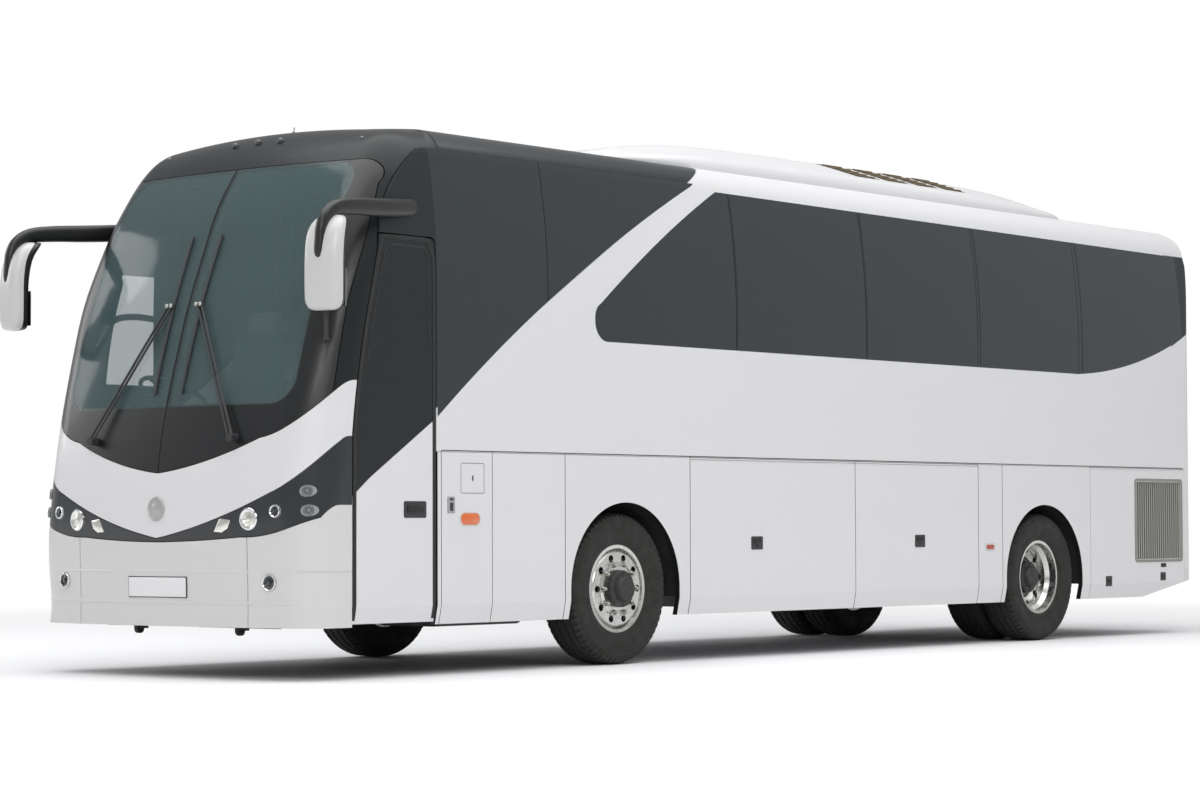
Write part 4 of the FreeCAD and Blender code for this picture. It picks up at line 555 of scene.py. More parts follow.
SLOT_FINISH = {
    "body_white": WHITE, "bumper_white": BUMPER, "black_gloss": BLACK, "windscreen_glass": SCREEN,
    "side_glass": SIDE_GLASS, "lamp_lens": LENS, "lamp_red": RED, "lamp_clear": CLEAR_CAP, "dark_steel": STEEL,
    "trim_rubber": RUBBER, "trim_plastic": PLASTIC, "tyre": TYRE, "wheel_alloy": ALLOY, "cast_iron": IRON,
    "bay_sheet": SHEET, "floor_covering": FLOOR, "seat_fabric": MOQUETTE, "dash_plastic": DASH,
    "mirror_glass": MIRROR,
}
NODE_FINISH = {
    **dict.fromkeys(("side_wall_left", "side_wall_right", "roof_panel", "rear_wall", "entry_door"), SWOOSH),
    **dict.fromkeys(("engine_door_left", "engine_door_right"), GRILLE_DOOR),
    **dict.fromkeys(("entry_door_glass", "rear_window"), DOOR_GLASS),
    **{f"skirt_{side}": GAP_SHADED for side in ("left", "right")},
    **{f"luggage_door_{side}_{end}": GAP_SHADED for side in ("left", "right") for end in ("front", "rear")},
}


def dress_cad() -> None:
    """Give each carried-over node the finish of its slot, or its own."""
    slots = {row["node"]: row["material_slot"] for row in frame["record"]["subparts"]}
    for name, node in frame["nodes"].items():
        finish = NODE_FINISH.get(name) or SLOT_FINISH[slots.get(name, "body_white")]
        node.data.materials.clear()
        node.data.materials.append(finish.build())


def put_in_scene(name: str, data: bpy.types.ID) -> bpy.types.Object:
    """Make an object of its data and link it to the scene.

    Args:
        name: name of the object.
        data: mesh, light or camera.

    Returns:
        The new object.
    """
    made = bpy.data.objects.new(name, data)
    bpy.context.scene.collection.objects.link(made)
    return made


@dataclass(frozen=True)
class Studio:
    """Camera, pale floor and soft light."""

    eye: Point = (14.491, -18.753, 0.9325)
    yaw: float = 39.463
    pitch: float = 2.3095
    roll: float = -0.1868
    focal_px: float = 3122.0
    width_px: float = 1200.0
    sensor_mm: float = 36.0
    clip_end: float = 400.0
    floor_size: float = 600.0
    fade_from: float = 6.5
    fade_to: float = 15.0
    # name, place, size, watts, aim
    lamps: tuple[tuple[str, Point, Flat, float, Point], ...] = (
        ("ceiling", (2, -2, 14), (22, 14), 2280, (0, 0, 0)),
        ("left_front", (16, -19, 14), (14, 8), 1650, (0, 0, 1.5)),
        ("right_front", (-20, -9, 9), (8, 8), 600, (0, 0, 1.5)),
    )

    def camera(self) -> None:
        """Place the camera."""
        data = bpy.data.cameras.new("view")
        data.sensor_width = self.sensor_mm
        data.lens = self.focal_px / self.width_px * self.sensor_mm
        data.clip_end = self.clip_end
        made = put_in_scene("view", data)
        yaw, pitch, roll = (math.radians(a) for a in (self.yaw, self.pitch, self.roll))
        ahead = Vector((-math.sin(yaw) * math.cos(pitch), math.cos(yaw) * math.cos(pitch), math.sin(pitch)))
        right = ahead.cross(UP).normalized()
        up = right.cross(ahead)
        right_r = right * math.cos(roll) + up * math.sin(roll)
        up_r = up * math.cos(roll) - right * math.sin(roll)
        made.matrix_world = frame_at(Vector(self.eye), right_r, up_r, -ahead)
        bpy.context.scene.camera = made

    def floor(self) -> None:
        """Lay the floor: pale paper that fades into even white far from the coach."""
        bpy.ops.mesh.primitive_plane_add(size=self.floor_size, location=(0, 0, 0))
        plane = bpy.context.object
        plane.name = "studio_floor"
        material = bpy.data.materials.new("studio_floor")
        g = Graph(material)
        paper = g.node("BsdfPrincipled", {"Base Color": linear("#F2F2F3"), "Roughness": 0.6})
        white = g.node("Emission", {"Color": linear("#FFFFFF"), "Strength": 1.0})
        away = g.node("VectorMath", {"operation": "LENGTH", 0: g.place}).outputs["Value"]
        share = g.all_of(g.seen_by("Camera", "Glossy"), g.ramp(away, self.fade_from, self.fade_to))
        g.node("OutputMaterial", {"Surface": g.mix(share, paper, white)})
        plane.data.materials.append(material)

    def light(self) -> None:
        """Hang the soft boxes and set the world."""
        for name, place, size, watts, aim in self.lamps:
            data = bpy.data.lights.new(name, "AREA")
            data.shape = "RECTANGLE"
            data.size, data.size_y = size
            data.energy = watts
            lamp = put_in_scene(name, data)
            lamp.location = place
            lamp.rotation_euler = (Vector(aim) - Vector(place)).to_track_quat("-Z", "Y").to_euler()
        world = bpy.data.worlds.new("studio")
        bpy.context.scene.world = world
        g = Graph(world)
        base = g.node("Background", {"Color": linear("#F4F5F7"), "Strength": 0.55})
        white = g.node("Background", {"Color": linear("#FFFFFF"), "Strength": 1.0})
        g.node("OutputWorld", {"Surface": g.mix(g.seen_by("Camera", "Transmission"), base, white)})
        bpy.context.scene.view_settings.view_transform = "Standard"


# ---------------------------------------------------------------- shared makers
def frame_at(point: Vector, across: Vector, up: Vector, out: Vector) -> Matrix:
    """Frame at a point whose X, Y and Z are three unit vectors."""
    return move(point) @ Matrix((across, up, out)).transposed().to_4x4()


def centre_of(low: Sequence[float], high: Sequence[float]) -> Point:
    """Middle of a box."""
    x, y, z = ((a + b) / 2 for a, b in zip(low, high))
    return x, y, z


def turns(count: int, shift: float = 0.0) -> list[tuple[float, float]]:
    """Cosine and sine at even steps of a full turn."""
    angles = (2 * math.pi * (k + shift) / count for k in range(count))
    return [(math.cos(t), math.sin(t)) for t in angles]


def heading(line: Sequence[Vector], index: int) -> Vector:
    """Unit direction of a line at one of its points."""
    return (line[min(index + 1, len(line) - 1)] - line[max(index - 1, 0)]).normalized()


# sight lines start this far out beyond the ends or the roof, and beside the flanks
OUT_ENDS, OUT_SIDES = 8.0, 4.0
# depth that is searched for a rim, and how closely the rim is found
RIM_DEPTH, RIM_CLOSE = 4.0, 0.0005
# where a sight line misses, the nearest point to this depth stands in
MISSED_DEPTH = 2.5


class Face(Enum):
    """Sides of the body that fittings are laid on."""

    FRONT = "front"
    REAR = "rear"
    LEFT = "left"
    RIGHT = "right"
    TOP = "top"

    def ray(self, a: float, b: float) -> tuple[Vector, Vector]:
        """Start and direction of the sight line for flat coordinates on this face.

        Args:
            a: across or along the face, X for the ends and Y for the sides.
            b: height, or Y on the roof.

        Returns:
            A point outside the body and the way towards it.
        """
        start, way = {
            Face.FRONT: ((a, -OUT_ENDS, b), (0, 1, 0)), Face.REAR: ((a, OUT_ENDS, b), (0, -1, 0)),
            Face.LEFT: ((OUT_SIDES, a, b), (-1, 0, 0)), Face.RIGHT: ((-OUT_SIDES, a, b), (1, 0, 0)),
            Face.TOP: ((a, b, OUT_ENDS), (0, 0, -1)),
        }[self]
        return Vector(start), Vector(way)


SIDES = ((1, Face.LEFT), (-1, Face.RIGHT))


class Skin:
    """Outside surface of some carried-over nodes, for laying fittings on."""

    def __init__(self, *names: str, meshes: Sequence[bpy.types.Mesh] = ()) -> None:
        """Gather the surface.

        Args:
            names: carried-over nodes.
            meshes: other meshes.
        """
        points: list[Vector] = []
        faces: list[tuple[int, ...]] = []
        for mesh in [frame["nodes"][name].data for name in names] + list(meshes):
            start = len(points)
            points.extend(v.co.copy() for v in mesh.vertices)
            faces.extend(tuple(start + i for i in p.vertices) for p in mesh.polygons)
        self.tree = BVHTree.FromPolygons(points, faces)

    def at(self, face: Face, a: float, b: float) -> tuple[Vector, Vector]:
        """Point and outward normal on the skin.

        Args:
            face: side of the body.
            a: first flat coordinate.
            b: second flat coordinate.

        Returns:
            The point and the unit normal.
        """
        start, way = face.ray(a, b)
        point, normal, _, _ = self.tree.ray_cast(start, way)
        if point is None:
            point, normal, _, _ = self.tree.find_nearest(start + way * MISSED_DEPTH)
            normal = -way
        if normal.dot(way) > 0:
            normal = -normal
        return point, normal.normalized()

    def edge(self, face: Face, inside: Flat, way: Flat, reach: float = 2.0) -> Flat:
        """Last point of the skin in a flat direction from a point on it.

        Args:
            face: side of the body.
            inside: flat point on the skin.
            way: flat direction.
            reach: farthest distance looked at.

        Returns:
            The flat point at the rim.
        """
        near, far = 0.0, reach
        while far - near > RIM_CLOSE:
            middle = (near + far) / 2
            start, ray = face.ray(inside[0] + way[0] * middle, inside[1] + way[1] * middle)
            hit = self.tree.ray_cast(start, ray, RIM_DEPTH)[0]
            near, far = (middle, far) if hit is not None else (near, middle)
        return inside[0] + way[0] * near, inside[1] + way[1] * near

    def place(self, face: Face, a: float, b: float) -> Matrix:
        """Frame on the skin whose Z looks outwards and whose Y looks up.

        Args:
            face: side of the body.
            a: first flat coordinate.
            b: second flat coordinate.

        Returns:
            The frame.
        """
        point, normal = self.at(face, a, b)
        up = Vector((0, -1, 0)) if face is Face.TOP else UP
        across = up.cross(normal).normalized()
        return frame_at(point, across, normal.cross(across), normal)


def rounded(box: Box, corner: float, steps: int = 5) -> list[Flat]:
    """Outline of a rectangle with round corners.

    Args:
        box: centre, full width and full height.
        corner: corner radius.
        steps: points in each corner.

    Returns:
        The outline, anticlockwise.
    """
    a, b, wide, high = box
    points = []
    for quarter, (sa, sb) in enumerate(((1, 1), (-1, 1), (-1, -1), (1, -1))):
        for step in range(steps + 1):
            angle = (quarter + step / steps) * math.pi / 2
            points.append((a + sa * (wide / 2 - corner) + corner * math.cos(angle),
                           b + sb * (high / 2 - corner) + corner * math.sin(angle)))
    return points


def smooth_path(points: Sequence[Vector], per_span: int = 6) -> list[Vector]:
    """Catmull-Rom line through points.

    Args:
        points: the points to pass through.
        per_span: points made for each span.

    Returns:
        The denser line, ends included.
    """
    ends = [points[0] * 2 - points[1], *points, points[-1] * 2 - points[-2]]
    line = []
    for index in range(1, len(ends) - 2):
        p0, p1, p2, p3 = ends[index - 1:index + 3]
        for t in (step / per_span for step in range(per_span)):
            line.append(0.5 * (p1 * 2 + (p2 - p0) * t + (p0 * 2 - p1 * 5 + p2 * 4 - p3) * t * t
                               + (p1 * 3 - p0 - p2 * 3 + p3) * t ** 3))
    line.append(points[-1].copy())
    return line


def densed(corners: Sequence[Flat], step: float = math.inf, least: int = 1) -> list[Flat]:
    """Extra points along a flat path, without its last corner.

    Args:
        corners: corners of the path.
        step: longest piece.
        least: pieces that each side gets at least.

    Returns:
        The denser path.
    """
    flat: list[Flat] = []
    for (a0, b0), (a1, b1) in zip(corners, corners[1:]):
        count = max(least, math.ceil(math.hypot(a1 - a0, b1 - b0) / step))
        flat.extend((a0 + (a1 - a0) * k / count, b0 + (b1 - b0) * k / count) for k in range(count))
    return flat


class Shape:
    """Grows the mesh of one piece."""

    def __init__(self) -> None:
        self.points: list[Vector] = []
        self.faces: list[tuple[int, ...]] = []
        self.marks: list[int] = []

    def add(self, points: Sequence[Vector], faces: Iterable[Sequence[int]], mark: int = 0) -> None:
        """Add points and faces that count from the first new point.

        Args:
            points: new points.
            faces: corners of each face.
            mark: finish number.
        """
        start = len(self.points)
        self.points.extend(points)
        for face in faces:
            self.faces.append(tuple(start + i for i in face))
            self.marks.append(mark)

    def loft(self, rings: Sequence[Sequence[Vector]], mark: int = 0, loop: bool = False) -> None:
        """Skin over rings of equal length, with closed ends.

        Args:
            rings: closed rings in order.
            mark: finish number.
            loop: join the last ring to the first instead.
        """
        count = len(rings[0])
        faces: list[tuple[int, ...]] = []
        for row in range(len(rings) if loop else len(rings) - 1):
            low, high = row * count, ((row + 1) % len(rings)) * count
            faces.extend((low + i, low + j, high + j, high + i)
                         for i, j in ((i, (i + 1) % count) for i in range(count)))
        if not loop:
            last = (len(rings) - 1) * count
            faces += [tuple(reversed(range(count))), tuple(range(last, last + count))]
        self.add([p for ring in rings for p in ring], faces, mark)

    def lathe(self, profile: Sequence[Flat], place: Matrix, steps: int = 32, mark: int = 0,
              loop: bool = False) -> None:
        """Turn a profile round the Z axis of a frame.

        Args:
            profile: radius and height pairs; a radius of 0 closes the end.
            place: the frame.
            steps: points round.
            mark: finish number.
            loop: the profile is closed on itself.
        """
        rounds = turns(steps)
        open_ends = [(max(radius, 1e-5), height) for radius, height in profile]
        rings = [[place @ Vector((radius * c, radius * s, height)) for c, s in rounds]
                 for radius, height in open_ends]
        self.loft(rings, mark, loop)

    def stud(self, place: Matrix, radii: Flat, heights: Point, steps: int = 20, mark: int = 0,
             dish: float = 0.0) -> None:
        """Turned button or nut with a chamfered rim.

        Args:
            place: frame of its seat.
            radii: of the side and of the flat top.
            heights: of the underside, the chamfer's foot and the top.
            steps: points round.
            mark: finish number.
            dish: depth of the middle under the top.
        """
        (side, rim), (foot, shoulder, top) = radii, heights
        profile = ((0.0, foot), (side, foot), (side, shoulder), (rim, top), (0.0, top - dish))
        self.lathe(profile, place, steps, mark)

    def tube(self, line: Sequence[Vector], radius: float, steps: int = 10, flat: float = 1.0,
             up: Vector = UP) -> None:
        """Round or oval rod along a line.

        Args:
            line: middle line.
            radius: half width across the line.
            steps: points round.
            flat: height of the section over its width.
            up: way that the section's height lies.
        """
        rings = []
        for index, point in enumerate(line):
            way = heading(line, index)
            across = way.cross(up).normalized()
            lift = across.cross(way).normalized()
            rings.append([point + across * radius * c + lift * radius * flat * s for c, s in turns(steps)])
        self.loft(rings)

    def slab(self, place: Matrix, size: Point, edge: float = 0.004, mark: int = 0) -> None:
        """Box with chamfered edges, centred on a frame.

        Args:
            place: the frame.
            size: full sizes along the frame's axes.
            edge: chamfer.
            mark: finish number.
        """
        hx, hy, hz = (s / 2 for s in size)
        e = min(edge, hx * 0.9, hy * 0.9, hz * 0.9)
        rings = []
        for z, inset in ((-hz, e), (-hz + e, 0.0), (hz - e, 0.0), (hz, e)):
            x, y = hx - inset, hy - inset
            ring = ((x, -y + e), (x, y - e), (x - e, y), (-x + e, y),
                    (-x, y - e), (-x, -y + e), (-x + e, -y), (x - e, -y))
            rings.append([place @ Vector((px, py, z)) for px, py in ring])
        self.loft(rings, mark)

    def patch(self, skin: Skin, face: Face, outline: Sequence[Flat], rise: float = 0.003, sink: float = 0.004,
              edge: float = 0.001, crown: float = 0.0, mark: int = 0) -> None:
        """Thin plate inside an outline, following the skin.

        Args:
            skin: surface it lies on.
            face: side of the body.
            outline: flat outline.
            rise: height of its rim over the skin.
            sink: depth of its foot under the skin.
            edge: rounding of the rim.
            crown: extra height in the middle.
            mark: finish number.
        """
        ca, cb = (sum(p[axis] for p in outline) / len(outline) for axis in (0, 1))
        reach = min(max(abs(p[0] - ca) for p in outline), max(abs(p[1] - cb) for p in outline))
        inner = max(1 - 1.5 * edge / max(reach, 1e-4), 0.5)
        rows = ((1.0, -sink), (1.0, rise - edge), (inner, rise), (inner * 0.7, rise + crown * 0.51),
                (inner * 0.4, rise + crown * 0.84), (0.1, rise + crown))
        rings = []
        for scale, height in rows:
            seen = (skin.at(face, ca + (a - ca) * scale, cb + (b - cb) * scale) for a, b in outline)
            rings.append([point + normal * height for point, normal in seen])
        self.loft(rings, mark)

    def ribbon(self, skin: Skin, face: Face, path: Sequence[Flat], wide: float, rise: float,
               sink: float = 0.004, mark: int = 0, step: float = 0.06, closed: bool = False) -> None:
        """Narrow strip that follows the skin along a flat path.

        Args:
            skin: surface it lies on.
            face: side of the body.
            path: corners of the path.
            wide: strip width.
            rise: height over the skin.
            sink: depth under the skin.
            mark: finish number.
            step: longest piece.
            closed: the path returns to its start.
        """
        flat = densed([*path, path[0]], step) if closed else densed(path, step) + [path[-1]]
        seen = [skin.at(face, a, b) for a, b in flat]
        rings = []
        total = len(seen)
        for index, (point, normal) in enumerate(seen):
            ahead = seen[(index + 1) % total if closed else min(index + 1, total - 1)][0]
            back = seen[index - 1 if closed or index else 0][0]
            side = (ahead - back).normalized().cross(normal).normalized() * (wide / 2)
            rings.append([
                point - side - normal * sink, point - side + normal * rise * 0.5,
                point - side * 0.6 + normal * rise, point + side * 0.6 + normal * rise,
                point + side + normal * rise * 0.5, point + side - normal * sink,
            ])
        self.loft(rings, mark, closed)

    def piece(self, name: str, body: str, slot: str, finishes: Sequence[Finish],
              sharp: float = 35.0) -> bpy.types.Object:
        """Make the object, dress it and hang it on its body.

        Args:
            name: name of the piece.
            body: CAD body that it moves with.
            slot: material slot of the record; not used.
            finishes: finishes by mark.
            sharp: edges sharper than this many degrees stay sharp.

        Returns:
            The new object.
        """
        mesh = bpy.data.meshes.new(name)
        mesh.from_pydata([tuple(p) for p in self.points], [], self.faces)
        for polygon, mark in zip(mesh.polygons, self.marks):
            polygon.material_index = mark
        grown = bmesh.new()
        grown.from_mesh(mesh)
        bmesh.ops.remove_doubles(grown, verts=grown.verts, dist=2e-5)
        bmesh.ops.recalc_face_normals(grown, faces=grown.faces)
        grown.to_mesh(mesh)
        grown.free()
        for finish in finishes:
            mesh.materials.append(finish.build())
        mesh.shade_smooth()
        mesh.set_sharp_from_angle(angle=math.radians(sharp))
        made = put_in_scene(name, mesh)
        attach(made, body)
        log.info("piece %s: %d faces", name, len(mesh.polygons))
        return made


@dataclass(frozen=True)
class Panel:
    """Thin plate with round corners, laid on a skin."""

    box: Box
    corner: float
    mark: int
    rise: float
    sink: float = 0.004
    edge: float = 0.001
    crown: float = 0.0


def panels(skin: Skin, face: Face, *rows: Panel) -> Shape:
    """Shape of panels on one side of the body.

    Args:
        skin: surface they lie on.
        face: side of the body.
        rows: the panels.

    Returns:
        The new shape.
    """
    shape = Shape()
    for row in rows:
        shape.patch(skin, face, rounded(row.box, row.corner), row.rise, row.sink, row.edge, row.crown, row.mark)
    return shape


# ---------------------------------------------------------------- front end
@dataclass(frozen=True)
class LampSpec:
    """One round lamp: where it sits and how its face is made."""

    across: float
    height: float
    radius: float
    ring: float
    bulb: float
    ring_mark: int
    bowl_mark: int


@dataclass(frozen=True)
class FrontLamps:
    """Head, fog and marker lamps, all laid on the front skin."""

    lamps: tuple[LampSpec, ...] = (
        LampSpec(0.780, 0.981, 0.069, 0.018, 0.020, 1, 0),
        LampSpec(0.981, 1.028, 0.040, 0.010, 0.012, 1, 2),
        LampSpec(1.165, 1.149, 0.034, 0.005, 0.010, 3, 3),
        LampSpec(1.178, 1.031, 0.034, 0.005, 0.010, 3, 3),
        LampSpec(0.930, 0.595, 0.050, 0.009, 0.016, 1, 2),
    )
    flutes: int = 5
    markers: tuple[Point, ...] = ((0.883, -4.576, 3.372), (0.207, -4.630, 3.418), (0.0, -4.624, 3.422))
    marker_radius: float = 0.020
    # outline of a bright metallised patch on each lamp lens, standing in for a reflection: painted highlight
    painted_glint: tuple[Flat, ...] = ((0.500, 0.905), (0.548, 0.985), (0.632, 0.975), (0.612, 0.925), (0.565, 0.900))

    def unit(self, shape: Shape, place: Matrix, spec: LampSpec) -> None:
        """Ring, reflector bowl and bulb cap of one lamp.

        Args:
            shape: piece it is added to.
            place: frame of its seat.
            spec: its sizes.
        """
        r, t, bulb = spec.radius, spec.ring, spec.bulb
        shape.lathe(((r - t, -0.004), (r - t, 0.008), (r - t * 0.6, 0.012), (r - t * 0.2, 0.011),
                     (r, 0.007), (r + 0.001, -0.004)), place, 40, spec.ring_mark, loop=True)
        bowl = [(0.0, -0.004), (r - t, -0.004), (r - t, 0.007)]
        for k in range(1, self.flutes + 1):
            radius = (r - t) * (1 - k / self.flutes) + bulb * k / self.flutes
            bowl += [(radius + 0.002, 0.007 - 0.0009 * k), (radius, 0.0050 - 0.0009 * k)]
        bowl += [(bulb * 0.96, 0.0085), (bulb * 0.6, 0.0115), (0.0, 0.0125)]
        shape.lathe(bowl, place, 40, spec.bowl_mark)

    def build(self) -> None:
        """Make every lamp."""
        skin = Skin("headlamps", "front_bumper", "lamp_units")
        heads = Shape()
        for side, _ in SIDES:
            for spec in self.lamps:
                self.unit(heads, skin.place(Face.FRONT, side * spec.across, spec.height), spec)
            # bright patch laid on the lens: painted highlight
            painted_glint = [(side * a, b) for a, b in self.painted_glint]
            heads.patch(skin, Face.FRONT, painted_glint, 0.007, edge=0.003, crown=0.006)
        heads.piece("front_lamps", "body", "lamp_clear", (SILVER_BOWL, CHROME, DARK_BOWL, GREY_LENS))
        dome = Skin("front_dome", "lamp_units")
        caps = Shape()
        r = self.marker_radius
        for x, y, z in self.markers:
            for side in ((1, -1) if x else (1,)):
                point, normal, _, _ = dome.tree.find_nearest(Vector((side * x, y, z)))
                normal = -normal if normal.z < 0 else normal
                place = frame_at(point, ACROSS, normal.cross(ACROSS).normalized(), normal)
                caps.lathe(((0.0, -0.005), (r * 1.25, -0.005), (r * 1.25, 0.003), (r, 0.007)), place, 24, 0)
                caps.lathe(((r * 0.95, 0.004), (r * 0.9, 0.013), (r * 0.5, 0.020), (0.0, 0.022)), place, 24, 1)
        caps.piece("roof_markers", "body", "lamp_clear", (PLASTIC, DARK_BOWL))


def blank_plate(skin: Skin, face: Face, box: Box, border: float, rise: float, name: str, body: str) -> None:
    """Plain number plate in a dark frame.

    Args:
        skin: surface it lies on.
        face: side of the body.
        box: centre, full width and full height.
        border: both sides of the frame together.
        rise: height of the plate over the skin.
        name: name of the piece.
        body: CAD body that it moves with.
    """
    a, b, wide, high = box
    sheet = Panel((a, b, wide - border, high - border), 0.006, 0, rise, -0.004)
    plate = panels(skin, face, Panel(box, 0.008, 1, 0.006), sheet)
    plate.piece(name, body, "bumper_white", (PLATE, PLASTIC))


@dataclass(frozen=True)
class FrontTrim:
    """Badge disc, blank number plate, bumper creases and aerial."""

    badge_height: float = 1.047
    badge_radius: float = 0.076
    plate: Box = (0.0, 0.562, 0.530, 0.132)
    # height, width and rise of each crease
    creases: tuple[Point, ...] = ((0.660, 0.016, 0.0045), (0.470, 0.022, 0.0035))
    crease_reach: float = 1.130
    aerial: Flat = (0.0, -4.30)

    def build(self) -> None:
        """Make the trim."""
        skin = Skin("front_mask", "front_bumper")
        badge = Shape()
        r = self.badge_radius
        badge.lathe(((0.0, -0.004), (r, -0.004), (r, 0.004), (r - 0.004, 0.008), (r - 0.009, 0.008),
                     (r - 0.012, 0.0045), (r * 0.45, 0.0050), (r * 0.40, 0.0075), (0.0, 0.0085)),
                    skin.place(Face.FRONT, 0.0, self.badge_height), 48)
        badge.piece("badge_disc", "body", "bumper_white", (BADGE,))
        blank_plate(skin, Face.FRONT, self.plate, 0.012, 0.0085, "number_plate_blank", "body")
        creases = Shape()
        bumper = Skin("front_bumper")
        for height, wide, rise in self.creases:
            path = [(self.crease_reach * k / 24, height) for k in range(-24, 25)]
            creases.ribbon(bumper, Face.FRONT, path, wide, rise)
        creases.piece("bumper_creases", "body", "bumper_white", (BUMPER,))
        aerial = Shape()
        root, _ = Skin("front_dome", "roof_panel").at(Face.TOP, *self.aerial)
        foot = ((0.0, -0.01), (0.016, -0.01), (0.014, 0.006), (0.006, 0.016), (0.0, 0.017))
        aerial.lathe(foot, move(root), 20)
        aerial.tube([root + Vector((0, 0.0, 0.010)), root + Vector((0, 0.008, 0.045))], 0.003)
        aerial.piece("roof_aerial", "body", "trim_plastic", (PLASTIC,))


@dataclass(frozen=True)
class ScreenTrim:
    """Rubber lines of the side windows and over the skirts."""

    dividers: tuple[float, ...] = (-1.137, 0.474, 2.030, 3.580)
    divider_foot: float = 2.185
    divider_gap: float = 0.012
    # width, rise and sink
    divider_section: Point = (0.014, 0.002, 0.003)
    skirt_section: Point = (0.006, 0.0012, 0.003)
    frames: tuple[tuple[Flat, ...], ...] = (
        ((-4.390, 2.335), (-4.560, 2.345), (-4.730, 2.325), (-4.840, 2.250), (-4.885, 2.120), (-4.895, 1.900)),
        ((-4.390, 2.675), (-4.390, 2.400), (-4.390, 2.100), (-4.390, 1.885)),
    )
    skirt_line: float = 1.411
    skirt_ends: Flat = (-4.240, 5.235)
    # on the right, where there is no door, the line starts farther forward
    skirt_more: float = 0.6
    frame_depth: float = 0.030
    frame_radius: float = 0.022

    def build(self) -> None:
        """Make the rubber lines."""
        for side, face in SIDES:
            tag = face.value
            node = f"side_glass_{tag}"
            _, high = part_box(node)
            glass, wall = Skin(node), Skin(f"side_wall_{tag}")
            lines = Shape()
            for y in self.dividers:
                ends = [(y, self.divider_foot), (y, high[2] - self.divider_gap)]
                lines.ribbon(glass, face, ends, *self.divider_section)
            fore, rear = self.skirt_ends
            fore -= self.skirt_more if side < 0 else 0.0
            lines.ribbon(wall, face, [(fore, self.skirt_line), (rear, self.skirt_line)], *self.skirt_section)
            lines.piece(f"window_rubber_{tag}", "body", "trim_rubber", (RUBBER,))
        self.driver_frame()

    def driver_frame(self) -> None:
        """Bowed frame of the driver's sliding pane, on the inside of the glass."""
        skin = Skin("side_glass_right")
        shape = Shape()
        for knots in self.frames:
            seen = (skin.at(Face.RIGHT, y, z) for y, z in knots)
            line = [point - normal * self.frame_depth for point, normal in seen]
            shape.tube(smooth_path(line), self.frame_radius, 10, 0.5, ACROSS)
        shape.piece("driver_window_frame", "body", "trim_rubber", (RUBBER,))


